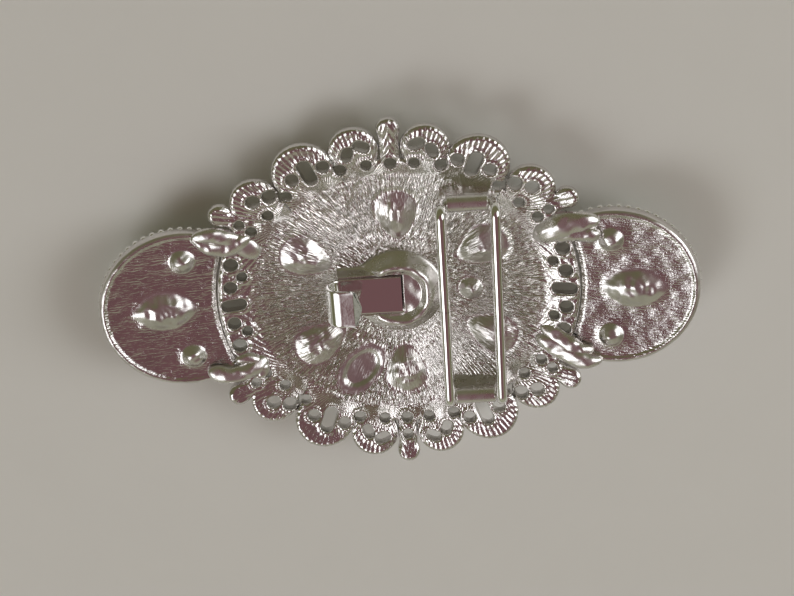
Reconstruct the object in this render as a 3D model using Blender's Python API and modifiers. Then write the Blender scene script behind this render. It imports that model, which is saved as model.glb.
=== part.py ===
"""Three-part rhinestone belt buckle: a pierced medallion between two round wings.

It lies face down on its stones with the back up: +Z is the back, X runs along the belt
and the origin is on the resting surface, under the middle of the medallion.
"""

import math

import bmesh
import bpy
from mathutils import Matrix, Vector

MM = 0.001
GAP = 0.3 * MM              # clearance between neighbouring pieces

# Medallion: a dished plate, its scalloped edge and its knobs
PLATE_Z = 6.0 * MM          # height of the middle of the plate's back
PLATE_THICK = 1.6 * MM
DISH_RISE = 4.5 * MM        # how far the back rises at DISH_RADIUS
DISH_RADIUS = 39.0 * MM
DISH_STEPS = 56
SIDE_X = 36.9 * MM          # the left and right sides, which bulge a little
SIDE_RADIUS = 34.0 * MM
SIDE_HALF = 17.0 * MM
PLATE_OVAL = (33.0 * MM, 30.0 * MM)
SCALLOPS = [                # x, y and radius in one quarter
    (7.0 * MM, 32.2 * MM, 5.0 * MM),
    (17.2 * MM, 28.1 * MM, 6.4 * MM),
    (27.3 * MM, 22.6 * MM, 5.0 * MM),
]
KNOB_RADIUS = 2.4 * MM
KNOB_STEM = 2.0 * MM        # half the width of a knob's stem
TIP_KNOB_Y = 36.6 * MM
CORNER_KNOB = (SIDE_X - 2.5 * MM, 20.4 * MM)
RIM_POINTS = 196

# Piercings of one quarter: x, y, half the straight stretch in x and y, radius
PIERCINGS = [
    (4.7 * MM, 28.9 * MM, 0.0, 0.0, 0.95 * MM),
    (9.9 * MM, 28.2 * MM, 0.0, 0.0, 1.05 * MM),
    (5.4 * MM, 33.2 * MM, 0.5 * MM, 0.2 * MM, 1.0 * MM),
    (8.3 * MM, 31.6 * MM, 0.2 * MM, -0.5 * MM, 0.95 * MM),
    (13.2 * MM, 29.3 * MM, 0.0, 0.0, 1.15 * MM),
    (16.4 * MM, 28.2 * MM, 0.55 * MM, 1.4 * MM, 1.2 * MM),
    (19.5 * MM, 26.9 * MM, 0.0, 0.0, 1.15 * MM),
    (20.9 * MM, 23.2 * MM, 0.0, 0.0, 0.95 * MM),
    (24.3 * MM, 23.7 * MM, 0.0, 0.0, 1.3 * MM),
    (27.6 * MM, 22.9 * MM, 0.0, 0.0, 1.25 * MM),
    (25.0 * MM, 19.4 * MM, 0.0, 0.0, 0.95 * MM),
    (SIDE_X - 8.3 * MM, 16.2 * MM, 0.0, 0.0, 0.95 * MM),
    (SIDE_X - 6.1 * MM, 18.0 * MM, 0.0, 0.0, 0.9 * MM),
    (SIDE_X - 2.9 * MM, 4.1 * MM, 0.0, 0.0, 1.2 * MM),
    (SIDE_X - 5.4 * MM, 6.2 * MM, 0.0, 0.0, 0.9 * MM),
    (SIDE_X - 3.5 * MM, 9.2 * MM, 0.0, 0.0, 1.3 * MM),
]
SIDE_PIERCING = (SIDE_X - 3.2 * MM, 0.0, 1.3 * MM, 0.0, 1.15 * MM)
TIP_PIERCING = (0.0, 29.0 * MM, 0.0, 0.0, 1.05 * MM)
LOWER_TIP_PIERCING = (0.0, -32.6 * MM, 0.0, 0.0, 0.95 * MM)

# The bare oval recess on the back
OVAL_AT = (-8.3 * MM, -16.0 * MM)
OVAL_SIZE = (9.4 * MM, 5.9 * MM)
OVAL_TURN = math.radians(48.0)
OVAL_DEPTH = 0.35 * MM

# Stones: the outside size of each cup, length along the stone's own axis first
CUP_WALL = 0.55 * MM
CUP_RIM_Z = 1.6 * MM        # front rim of the medallion's cups
CUP_WEB = 1.2 * MM          # metal left behind a stone, under the plate's back
CUP_ROOT = 0.72 * MM        # how far a cup stops under the plate's back
BOSS_HEIGHT = 1.7 * MM      # how far a cup's underside bulges from the back
PEAR_CUP = (11.0 * MM, 8.7 * MM)
PEAR_TOP_Y = 17.6 * MM
PEAR_SIDE = (18.3 * MM, 9.8 * MM)
ROUND_CUP = 5.2 * MM
ROUND_X = 14.4 * MM
CENTRE_CUP = 17.4 * MM
TABLE_SHARE = 0.6           # a stone's flat table, as a share of its girdle
CULET_SHARE = 0.35          # its back, likewise

# Wings: round castings, hollowed to fit the medallion's side and leaning towards the back
WING_RADIUS = 17.3 * MM
WING_SPLIT = 0.4 * MM       # between the medallion's side and a wing
WING_CHORD_X = SIDE_X + WING_SPLIT
WING_CENTRE = 6.3 * MM      # from the chord
WING_PROUD = 0.17 * MM      # of the medallion's back at its side
WING_Z = DISH_RISE * (SIDE_X / DISH_RADIUS) ** 2 + WING_PROUD
WING_TILT = math.radians(8.0)
WING_DEPTH = 3.0 * MM       # over the rim
WING_RIM = 1.6 * MM
WING_FLOOR = 0.5 * MM       # how far the back lies below its rim
WING_THICK = 1.5 * MM
WING_STEPS = 48
WING_CUP_RISE = 1.6 * MM    # front rim of the wing's cups below the wing's plate
NAVETTE_CUP = (13.4 * MM, 8.6 * MM)
NAVETTE_X = 4.1 * MM        # from the wing's centre
WING_ROUND_CUP = 5.3 * MM
WING_ROUND_AT = (-0.6 * MM, WING_RADIUS - 6.5 * MM)

# Solder bridges
BRIDGE_INNER = (26.6 * MM, 10.3 * MM)
BRIDGE_OUTER = (WING_CHORD_X + 2.9 * MM, WING_RADIUS - 2.3 * MM)
BRIDGE_WIDTH = 3.7 * MM
BRIDGE_HEIGHT = 1.9 * MM

# Hook base: a collar round the middle, with a tongue to the left
COLLAR_RADIUS = 9.2 * MM
COLLAR_CREST = 3.3 * MM     # heights over PLATE_Z
COLLAR_FLOOR = 2.3 * MM
COLLAR_HOLLOW = 4.4 * MM    # radius of the flat floor inside the ring
COLLAR_RING = 6.0 * MM      # radius of the ring's crest
COLLAR_FOOT = 0.9 * MM      # height of the outer edge over PLATE_Z
TONGUE_REACH = 12.6 * MM
TONGUE_HALF = 5.5 * MM
TONGUE_TOP = 2.7 * MM
POCKET_FLOOR = 1.7 * MM

# Hook: one bent strip
HOOK_THICK = 0.85 * MM
HOOK_WIDTH = 8.0 * MM
HOOK_BASE_X = 0.6 * MM
HOOK_BEND_X = -11.5 * MM
HOOK_MOUTH = 4.7 * MM
HOOK_FLAP_END = -7.4 * MM
HOOK_END_SAG = 1.7 * MM     # how far the flap's corners fall back from its end

# Wire loop and the two ears that hold it
WIRE_RADIUS = 1.08 * MM
LOOP_LEFT_X = 9.3 * MM
LOOP_RIGHT_X = 20.0 * MM
LOOP_LONG_Z = 10.8 * MM     # wire centres over PLATE_Z
LOOP_SHORT_Z = 7.0 * MM
LOOP_BEND = 1.6 * MM
LOOP_SEAM = 0.2 * MM
EAR_Y = 21.7 * MM
EAR_THICK = 2.5 * MM
EAR_BASE = 11.0 * MM
EAR_SHOULDER = 4.4 * MM     # over PLATE_Z
EAR_WALL = 0.5 * MM         # metal round the wire

LOOP_MID_X = (LOOP_LEFT_X + LOOP_RIGHT_X) / 2
KNUCKLE_BORE = WIRE_RADIUS + GAP
KNUCKLE_RADIUS = KNUCKLE_BORE + EAR_WALL
KNUCKLE_HALF = (LOOP_RIGHT_X - LOOP_LEFT_X) / 2 - WIRE_RADIUS - GAP
REACH = 60.0 * MM           # longer than any cut


# ---------------------------------------------------------------- scene and materials

def clear_scene():
    for thing in list(bpy.data.objects):
        bpy.data.objects.remove(thing, do_unlink=True)


def new_collection(name):
    group = bpy.data.collections.new(name)
    bpy.context.scene.collection.children.link(group)
    return group


def material(name, colour, roughness, metallic):
    made = bpy.data.materials.new(name)
    made.use_nodes = True
    shader = made.node_tree.nodes["Principled BSDF"]
    shader.inputs["Base Color"].default_value = (*colour, 1.0)
    shader.inputs["Roughness"].default_value = roughness
    shader.inputs["Metallic"].default_value = metallic
    return made


def finish(obj, look):
    """Give a part its material and shade its round faces smooth."""
    obj.data.materials.clear()
    obj.data.materials.append(look)
    obj.data.shade_smooth()
    obj.data.set_sharp_from_angle(angle=math.radians(35))
    return obj


# ---------------------------------------------------------------- shapes

def new_object(name, mesh, group):
    obj = bpy.data.objects.new(name, mesh)
    group.objects.link(obj)
    return obj


def mesh_object(name, bm, group):
    """Close a bmesh into an object, with its faces turned outwards."""
    bmesh.ops.remove_doubles(bm, verts=bm.verts, dist=0.001 * MM)
    bmesh.ops.recalc_face_normals(bm, faces=bm.faces)
    mesh = bpy.data.meshes.new(name)
    bm.to_mesh(mesh)
    bm.free()
    return new_object(name, mesh, group)


def frozen(obj, group):
    """Replace a curve or a modified object by the mesh it evaluates to."""
    name = obj.name
    place = obj.matrix_world.copy()
    bpy.context.view_layer.update()
    seen = obj.evaluated_get(bpy.context.evaluated_depsgraph_get())
    mesh = bpy.data.meshes.new_from_object(seen)
    bpy.data.objects.remove(obj, do_unlink=True)
    bm = bmesh.new()
    bm.from_mesh(mesh)
    bpy.data.meshes.remove(mesh)
    made = mesh_object(name, bm, group)
    made.matrix_world = place
    return made


def revolved(name, profile, steps, group):
    """Turn a profile of (radius, height), outer side top to bottom, round Z."""
    mesh = bpy.data.meshes.new(name)
    edges = [(i, i + 1) for i in range(len(profile) - 1)]
    mesh.from_pydata([(r, 0.0, z) for r, z in profile], edges, [])
    obj = new_object(name, mesh, group)
    turn = obj.modifiers.new("turn", "SCREW")
    turn.steps = steps
    turn.render_steps = steps
    turn.use_merge_vertices = True
    turn.merge_threshold = 0.001 * MM
    return frozen(obj, group)


def prism(name, loops, low, high, group):
    """Extrude flat outlines, each a list of (x, y), from one height to another."""
    curve = bpy.data.curves.new(name, "CURVE")
    curve.dimensions = "2D"
    curve.fill_mode = "BOTH"
    curve.extrude = (high - low) / 2
    for loop in loops:
        line = curve.splines.new("POLY")
        line.points.add(len(loop) - 1)
        for point, (x, y) in zip(line.points, loop):
            point.co = (x, y, 0.0, 1.0)
        line.use_cyclic_u = True
    obj = new_object(name, curve, group)
    made = frozen(obj, group)
    made.data.transform(Matrix.Translation((0.0, 0.0, (low + high) / 2)))
    return made


def block(name, low, high, group):
    bm = bmesh.new()
    bmesh.ops.create_cube(bm, size=1.0)
    size = Vector(high) - Vector(low)
    middle = (Vector(high) + Vector(low)) / 2
    bmesh.ops.transform(bm, matrix=Matrix.LocRotScale(middle, None, size), verts=bm.verts)
    return mesh_object(name, bm, group)


def rod(name, radius, length, sides, centre, group):
    """A cylinder along X."""
    bm = bmesh.new()
    bmesh.ops.create_cone(bm, cap_ends=True, segments=sides, radius1=radius,
                          radius2=radius, depth=length)
    turn = Matrix.Rotation(math.pi / 2, 4, "Y")
    bmesh.ops.transform(bm, matrix=Matrix.Translation(centre) @ turn, verts=bm.verts)
    return mesh_object(name, bm, group)


def boolean(obj, kind, tool):
    """Cut, join or trim an object by another, which is then only a guide."""
    cut = obj.modifiers.new(kind.lower(), "BOOLEAN")
    cut.operation = kind
    cut.solver = "EXACT"
    cut.object = tool
    tool.hide_render = True
    tool.display_type = "WIRE"
    return obj


# ---------------------------------------------------------------- outlines

def circle(x, y, radius, sides=20):
    turns = [2 * math.pi * i / sides for i in range(sides)]
    return [(x + radius * math.cos(a), y + radius * math.sin(a)) for a in turns]


def slot(x, y, dx, dy, radius, sides=8):
    """A hole with round ends, or a plain round one when dx and dy are nought."""
    lean = math.atan2(dy, dx)
    points = []
    for i in range(sides):
        a = lean - math.pi / 2 + 2 * math.pi * (i + 0.5) / sides
        end = 1.0 if i < sides / 2 else -1.0
        points.append((x + end * dx + radius * math.cos(a), y + end * dy + radius * math.sin(a)))
    return points


def pear(length, width, sides=20):
    """A pear whose narrow end points to +x, about the middle of its length."""
    points = []
    for i in range(sides):
        a = 2 * math.pi * i / sides
        taper = (1 - 0.34 * math.cos(a)) / 1.06
        points.append((length / 2 * math.cos(a), width / 2 * math.sin(a) * taper))
    return points


def navette(length, width, sides=20):
    """A boat shape, pointed at both ends."""
    points = []
    for i in range(sides):
        a = 2 * math.pi * i / sides
        rise = math.sin(a) * abs(math.sin(a)) ** 0.45
        points.append((length / 2 * math.cos(a), width / 2 * rise))
    return points


def turned(points, x, y, angle):
    """Turn an outline about its own middle, then move it."""
    c, s = math.cos(angle), math.sin(angle)
    return [(x + c * u - s * v, y + s * u + c * v) for u, v in points]


def mirrored(x, y):
    """The places of one quarter's point in all four quarters."""
    return [(x, y), (-x, y), (-x, -y), (x, -y)]


def disc_hit(angle, x, y, radius):
    """How far from the middle a ray leaves a disc, or nought if it misses."""
    along = x * math.cos(angle) + y * math.sin(angle)
    aside = x * math.sin(angle) - y * math.cos(angle)
    inside = radius * radius - aside * aside
    return along + math.sqrt(inside) if inside > 0 and along > 0 else 0.0


def stem_hit(angle, x, y, half):
    """How far a ray runs inside a stem that goes from the middle to (x, y)."""
    turn = angle - math.atan2(y, x)
    length = math.hypot(x, y)
    if math.cos(turn) <= 0:
        return 0.0
    across = abs(math.sin(turn))
    reach = length / math.cos(turn)
    return min(reach, half / across) if across > 0 else reach


def rim_reach(angle):
    """The medallion's edge as a distance from its middle."""
    c, s = abs(math.cos(angle)), abs(math.sin(angle))
    reach = 1 / math.hypot(c / PLATE_OVAL[0], s / PLATE_OVAL[1])
    quarter = math.atan2(s, c)
    side = disc_hit(quarter, SIDE_X - SIDE_RADIUS, 0.0, SIDE_RADIUS)
    reach = max(reach, min(side, SIDE_HALF / max(s, 1e-9)))
    for x, y, radius in SCALLOPS:
        reach = max(reach, disc_hit(quarter, x, y, radius))
    for x, y in (CORNER_KNOB, (0.0, TIP_KNOB_Y)):
        reach = max(reach, disc_hit(quarter, x, y, KNOB_RADIUS), stem_hit(quarter, x, y, KNOB_STEM))
    return reach


def medallion_loops():
    """The scalloped edge and every piercing."""
    rim = []
    for i in range(RIM_POINTS):
        angle = 2 * math.pi * i / RIM_POINTS
        reach = rim_reach(angle)
        rim.append((reach * math.cos(angle), reach * math.sin(angle)))
    loops = [rim]
    for x, y, dx, dy, radius in PIERCINGS:
        for px, py in mirrored(x, y):
            loops.append(slot(px, py, math.copysign(dx, px), math.copysign(1, py) * dy, radius))
    x, y, dx, dy, radius = SIDE_PIERCING
    loops += [slot(x, y, dx, dy, radius), slot(-x, y, dx, dy, radius)]
    x, y, dx, dy, radius = TIP_PIERCING
    loops += [slot(x, y, dx, dy, radius), slot(x, -y, dx, dy, radius)]
    loops.append(slot(*LOWER_TIP_PIERCING))
    return loops


# ---------------------------------------------------------------- heights

def plate_back(radius):
    """Height of the medallion's dished back at a distance from its middle."""
    return PLATE_Z + DISH_RISE * (radius / DISH_RADIUS) ** 2


def dish_profile(low, rise):
    """A dished solid: its top follows the back, raised, and its foot is flat or dished."""
    rings = [0.0, 9 * MM, 16 * MM, 22 * MM, 27 * MM, 31 * MM, 35 * MM, SIDE_X + 6.1 * MM]
    top = [(r, plate_back(r) + rise) for r in rings]
    if low is None:
        foot = [(r, plate_back(r) - PLATE_THICK) for r in reversed(rings)]
    else:
        foot = [(rings[-1], low), (0.0, low)]
    return top + foot


def wing_back(x):
    """Height of a wing's rim plane at a distance from the medallion's middle."""
    return PLATE_Z + WING_Z + (x - WING_CHORD_X) * math.tan(WING_TILT)


def bridge_seat(x, y):
    """The surface under a bridge: the medallion's back, then the wing's."""
    plate = plate_back(min(math.hypot(x, y), math.hypot(SIDE_X, y)))
    return max(plate, wing_back(x)) if x > SIDE_X else plate


# ---------------------------------------------------------------- parts

def stone_places():
    """Each medallion stone: name, outline maker, cup size, x, y and turn."""
    inward = math.pi
    places = [("centre_stone", round_outline, (CENTRE_CUP, CENTRE_CUP), 0.0, 0.0, 0.0)]
    sides = (("right", 1), ("left", -1))
    rows = (("upper", 1), ("lower", -1))
    for row, up in rows:
        places.append((f"{row}_pear_stone", pear, PEAR_CUP, 0.0, up * PEAR_TOP_Y, -up * math.pi / 2))
        for side, out in sides:
            x, y = out * PEAR_SIDE[0], up * PEAR_SIDE[1]
            places.append((f"{row}_{side}_pear_stone", pear, PEAR_CUP, x, y, math.atan2(y, x) + inward))
    for side, out in sides:
        places.append((f"{side}_small_stone", round_outline, (ROUND_CUP, ROUND_CUP), out * ROUND_X, 0.0, 0.0))
    return places


def round_outline(length, width, sides=20):
    return circle(0.0, 0.0, length / 2, sides if length > 10 * MM else 14)


def dome(bm, points, x, y, turn, z, height):
    """A bulge over an outline: a half ball stretched to it, and a shallow foot below."""
    made = bmesh.ops.create_uvsphere(bm, u_segments=len(points), v_segments=8, radius=1.0)
    c, s = math.cos(turn), math.sin(turn)
    for vert in made["verts"]:
        flat = math.hypot(vert.co.x, vert.co.y)
        step = round(math.atan2(vert.co.y, vert.co.x) / (2 * math.pi) * len(points)) % len(points)
        u, v = points[step] if flat > 1e-6 else (0.0, 0.0)
        lift = height if vert.co.z > 0 else height * 0.4
        vert.co = (x + flat * (c * u - s * v), y + flat * (s * u + c * v), z + lift * vert.co.z)


def bosses(name, places, group):
    """The undersides of a casting's cups, as one cutter of separate domes."""
    bm = bmesh.new()
    for points, x, y, turn, z in places:
        dome(bm, points, x, y, turn, z, BOSS_HEIGHT)
    return mesh_object(name, bm, group)


def cut_stone(name, points, culet, floor, girdle, table, group):
    """A faceted stone: culet, pavilion, girdle, crown and table over one outline."""
    levels = [(culet, floor), (1.0, girdle[0]), (1.0, girdle[1]), (TABLE_SHARE, table)]
    bm = bmesh.new()
    ring = bmesh.ops.create_circle(bm, cap_ends=True, segments=len(points), radius=1.0)["verts"]
    order = sorted(ring, key=lambda v: math.atan2(v.co.y, v.co.x) % (2 * math.pi))
    for vert, (u, v) in zip(order, points):
        vert.co = (u, v, 0.0)
    face = bm.faces[:]
    share = 1.0
    for i, (scale, z) in enumerate(levels):
        if i:
            grown = bmesh.ops.extrude_face_region(bm, geom=face)["geom"]
            if i > 1:
                bmesh.ops.delete(bm, geom=face, context="FACES_ONLY")
            face = [g for g in grown if isinstance(g, bmesh.types.BMFace)]
            ring = [g for g in grown if isinstance(g, bmesh.types.BMVert)]
        for vert in ring:
            vert.co = (vert.co.x * scale / share, vert.co.y * scale / share, z)
        share = scale
    return mesh_object(name, bm, group)


def build_medallion(parts, tools, look):
    body = revolved("medallion", dish_profile(None, 0.0), DISH_STEPS, parts)
    boolean(body, "INTERSECT", prism("edge_and_piercings", medallion_loops(), -REACH, REACH, tools))
    cups, pockets, bulges = [], [], []
    for name, shape, cup, x, y, turn in stone_places():
        if name != "centre_stone":
            root = plate_back(math.hypot(x, y)) - CUP_ROOT
            cups.append((turned(shape(*cup), x, y, turn), root))
        pocket = shape(cup[0] - 2 * CUP_WALL, cup[1] - 2 * CUP_WALL)
        floor = plate_back(math.hypot(x, y)) - CUP_WEB
        pockets.append((turned(pocket, x, y, turn), floor))
        if name not in ("centre_stone", "left_small_stone"):
            bulges.append((shape(*cup), x, y, turn, plate_back(math.hypot(x, y))))
    cups.append((circle(0.0, 0.0, CENTRE_CUP / 2, 32), plate_back(0.0) - CUP_ROOT))
    for i, (loop, root) in enumerate(cups):
        boolean(body, "UNION", prism(f"cup_{i}", [loop], CUP_RIM_Z, root, tools))
    boolean(body, "UNION", bosses("bosses", bulges, tools))
    for i, (loop, floor) in enumerate(pockets):
        boolean(body, "DIFFERENCE", prism(f"pocket_{i}", [loop], -REACH, floor, tools))
    a, b = OVAL_SIZE
    oval = [(a / 2 * math.cos(t), b / 2 * math.sin(t)) for t in
            [2 * math.pi * i / 24 for i in range(24)]]
    floor = plate_back(math.hypot(*OVAL_AT)) - OVAL_DEPTH
    boolean(body, "DIFFERENCE", prism("oval", [turned(oval, *OVAL_AT, OVAL_TURN)], floor, REACH, tools))
    finish(body, look)


def build_medallion_stones(parts, look):
    for name, shape, cup, x, y, turn in stone_places():
        inset = 2 * (CUP_WALL + GAP)
        points = shape(cup[0] - inset, cup[1] - inset)
        floor = plate_back(math.hypot(x, y)) - CUP_WEB - GAP
        girdle = (CUP_RIM_Z + 0.9 * MM, CUP_RIM_Z)
        stone = cut_stone(name, points, CULET_SHARE, floor, girdle, 0.0, parts)
        stone.location = (x, y, 0.0)
        stone.rotation_euler = (0.0, 0.0, turn)
        finish(stone, look)


def wing_frame(side, out, group):
    """An empty on the chord, from which a wing's x runs outwards along its back."""
    frame = bpy.data.objects.new(f"{side}_wing_frame", None)
    group.objects.link(frame)
    frame.location = (out * WING_CHORD_X, 0.0, PLATE_Z + WING_Z)
    frame.rotation_euler = (0.0, -WING_TILT, 0.0 if out > 0 else math.pi)
    return frame


def wing_stone_places(out):
    """Each wing stone: name, outline maker, cup size, x and y from the wing's centre."""
    x, y = WING_ROUND_AT[0], out * WING_ROUND_AT[1]
    cup = (WING_ROUND_CUP, WING_ROUND_CUP)
    return [
        ("navette_stone", navette, NAVETTE_CUP, NAVETTE_X, 0.0),
        ("upper_stone", round_outline, cup, x, y),
        ("lower_stone", round_outline, cup, x, -y),
    ]


def wing_profile():
    """A wing's section: raised rim and flat floor behind, deeper rim in front."""
    inner = WING_RADIUS - WING_RIM
    return [
        (0.0, -WING_FLOOR), (inner, -WING_FLOOR), (inner + 0.7 * MM, 0.0), (WING_RADIUS - 0.4 * MM, 0.0),
        (WING_RADIUS, -0.4 * MM), (WING_RADIUS, 0.4 * MM - WING_DEPTH), (WING_RADIUS - 0.4 * MM, -WING_DEPTH),
        (inner, -WING_DEPTH), (inner - 0.3 * MM, -WING_FLOOR - WING_THICK), (0.0, -WING_FLOOR - WING_THICK),
    ]


def build_wing(side, out, parts, tools, metal, crystal):
    frame = wing_frame(side, out, parts)
    centre = WING_CENTRE
    hollow = SIDE_RADIUS + WING_SPLIT
    front = -WING_FLOOR - WING_THICK
    body = revolved(f"{side}_wing", wing_profile(), WING_STEPS, parts)
    body.data.transform(Matrix.Translation((centre, 0.0, 0.0)))
    cups, pockets, bulges = [], [], []
    for name, shape, cup, x, y in wing_stone_places(out):
        cups.append(turned(shape(*cup), centre + x, y, 0.0))
        inside = shape(cup[0] - 2 * CUP_WALL, cup[1] - 2 * CUP_WALL)
        pockets.append(turned(inside, centre + x, y, 0.0))
        bulges.append((shape(*cup), centre + x, y, 0.0, -WING_FLOOR))
        inset = 2 * (CUP_WALL + GAP)
        points = shape(cup[0] - inset, cup[1] - inset)
        rim = front - WING_CUP_RISE
        stone = cut_stone(f"{side}_wing_{name}", points, CULET_SHARE, -WING_FLOOR - CUP_WEB - GAP,
                          (rim + 0.7 * MM, rim), rim - 1.2 * MM, parts)
        stone.parent = frame
        stone.location = (centre + x, y, 0.0)
        finish(stone, crystal)
    tools_made = [
        ("DIFFERENCE", prism(f"{side}_hollow", [circle(-hollow, 0.0, hollow, 90)], -REACH, REACH, tools)),
        ("UNION", prism(f"{side}_cups", cups, front - WING_CUP_RISE, front + WING_THICK / 2, tools)),
        ("UNION", bosses(f"{side}_bosses", bulges, tools)),
        ("DIFFERENCE", prism(f"{side}_pockets", pockets, -REACH, -WING_FLOOR - CUP_WEB, tools)),
    ]
    body.parent = frame
    for kind, tool in tools_made:
        tool.parent = frame
        boolean(body, kind, tool)
    finish(body, metal)


def build_bridge(name, out, up, parts, look):
    """A bar of solder draped over the backs of a wing and the medallion."""
    bm = bmesh.new()
    bmesh.ops.create_cube(bm, size=2.0)
    long_edges = [e for e in bm.edges if abs(e.verts[0].co.x - e.verts[1].co.x) > 1]
    bmesh.ops.subdivide_edges(bm, edges=long_edges, cuts=11, use_grid_fill=True)
    cross_edges = [e for e in bm.edges if abs(e.verts[0].co.y - e.verts[1].co.y) > 1]
    bmesh.ops.subdivide_edges(bm, edges=cross_edges, cuts=3, use_grid_fill=True)
    start, end = Vector(BRIDGE_INNER), Vector(BRIDGE_OUTER)
    way = (end - start).normalized()
    aside = Vector((-way.y, way.x))
    for vert in bm.verts:
        along, across, top = vert.co
        round_end = math.sqrt(max(0.0, 1.0 - 0.75 * abs(along) ** 6))
        swell = 1.0 + 0.12 * math.cos(3 * math.pi * along)
        spot = start + (end - start) * (along + 1) / 2
        spot = spot + aside * across * BRIDGE_WIDTH / 2 * round_end * swell
        crown = 1.0 - 0.45 * across * across
        rise = BRIDGE_HEIGHT * crown * round_end if top > 0 else 0.0
        seat = bridge_seat(spot.x, spot.y) + GAP
        vert.co = (out * spot.x, up * spot.y, seat + rise)
    finish(mesh_object(name, bm, parts), look)


def build_hook_base(parts, tools, look):
    crest = PLATE_Z + COLLAR_CREST
    floor = PLATE_Z + COLLAR_FLOOR
    edge = PLATE_Z + COLLAR_FOOT
    foot = PLATE_Z - PLATE_THICK / 2
    profile = [
        (0.0, floor), (COLLAR_HOLLOW, floor), (COLLAR_RING - 0.8 * MM, crest - 0.3 * MM), (COLLAR_RING, crest),
        (COLLAR_RING + MM, crest - 0.3 * MM), (COLLAR_RADIUS - 0.9 * MM, edge + 0.8 * MM),
        (COLLAR_RADIUS, edge), (COLLAR_RADIUS, foot), (0.0, foot),
    ]
    body = revolved("hook_base", profile, 40, parts)
    tongue = block("tongue", (-TONGUE_REACH, -TONGUE_HALF, foot), (0.0, TONGUE_HALF, PLATE_Z + TONGUE_TOP), tools)
    for vert in tongue.data.vertices:
        if vert.co.z > PLATE_Z:
            vert.co.y *= 0.9
            vert.co.x += 0.8 * MM if vert.co.x < -MM else 0.0
    boolean(body, "UNION", tongue)
    half = HOOK_WIDTH / 2 + GAP
    low = (-REACH, -half, PLATE_Z + POCKET_FLOOR)
    boolean(body, "DIFFERENCE", block("pocket", low, (HOOK_BASE_X + GAP, half, REACH), tools))
    boolean(body, "DIFFERENCE", clearance("hook_base_seat", tools))
    finish(body, look)


def clearance(name, group):
    """Everything up to the gap over the medallion's back, to seat a piece on it."""
    return revolved(name, dish_profile(-REACH, GAP), DISH_STEPS, group)


def hook_outline():
    """The strip's edge in its own plane: base, half-round bend, flap."""
    low = PLATE_Z + POCKET_FLOOR + GAP
    inner = HOOK_MOUTH / 2
    outer = inner + HOOK_THICK
    middle = low + outer
    turns = [math.pi * i / 14 for i in range(15)]
    outside = [(HOOK_BEND_X - outer * math.sin(a), middle - outer * math.cos(a)) for a in turns]
    inside = [(HOOK_BEND_X - inner * math.sin(a), middle - inner * math.cos(a)) for a in reversed(turns)]
    ends = [(HOOK_FLAP_END, middle + outer), (HOOK_FLAP_END, middle + inner)]
    base = [(HOOK_BASE_X, low + HOOK_THICK), (HOOK_BASE_X, low)]
    return outside + ends + inside + base


def build_hook(parts, tools, look):
    body = prism("belt_hook", [hook_outline()], -HOOK_WIDTH / 2, HOOK_WIDTH / 2, parts)
    body.data.transform(Matrix.Rotation(math.pi / 2, 4, "X"))
    half = HOOK_WIDTH / 2
    radius = (half ** 2 + HOOK_END_SAG ** 2) / (2 * HOOK_END_SAG)
    spread = math.asin(half / radius) * 1.15
    turns = [spread * (i / 8 - 1) for i in range(17)]
    centre = HOOK_FLAP_END - radius
    arc = [(centre + radius * math.cos(a), radius * math.sin(a)) for a in turns]
    outside = [(HOOK_FLAP_END + MM, half + MM), (HOOK_FLAP_END + MM, -half - MM)]
    middle = PLATE_Z + POCKET_FLOOR + GAP + HOOK_THICK + HOOK_MOUTH / 2
    boolean(body, "DIFFERENCE", prism("flap_end", [arc + outside], middle, REACH, tools))
    finish(body, look)


def loop_path():
    """The wire's centre line, from one side of the butt joint round to the other."""
    z_long, z_short = PLATE_Z + LOOP_LONG_Z, PLATE_Z + LOOP_SHORT_Z
    left, right = LOOP_LEFT_X, LOOP_RIGHT_X
    corners = [
        (left, EAR_Y, z_long), (left, EAR_Y, z_short), (right, EAR_Y, z_short), (right, EAR_Y, z_long),
        (right, -EAR_Y, z_long), (right, -EAR_Y, z_short), (left, -EAR_Y, z_short), (left, -EAR_Y, z_long),
    ]
    start = Vector((left, LOOP_SEAM / 2, z_long))
    end = Vector((left, -LOOP_SEAM / 2, z_long))
    knots = [start] + [Vector(c) for c in corners] + [end]
    path = [start]
    for before, corner, after in zip(knots, knots[1:], knots[2:]):
        back = (before - corner).normalized()
        ahead = (after - corner).normalized()
        middle = corner + (back + ahead) * LOOP_BEND
        for i in range(6):
            a = math.pi / 2 * i / 5
            path.append(middle - ahead * LOOP_BEND * math.cos(a) - back * LOOP_BEND * math.sin(a))
    return path + [end]


def build_loop(parts, look):
    curve = bpy.data.curves.new("belt_loop", "CURVE")
    curve.dimensions = "3D"
    curve.bevel_depth = WIRE_RADIUS
    curve.bevel_resolution = 2
    curve.use_fill_caps = True
    line = curve.splines.new("POLY")
    path = loop_path()
    line.points.add(len(path) - 1)
    for point, place in zip(line.points, path):
        point.co = (*place, 1.0)
    wire = frozen(new_object("belt_loop", curve, parts), parts)
    finish(wire, look)


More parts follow.
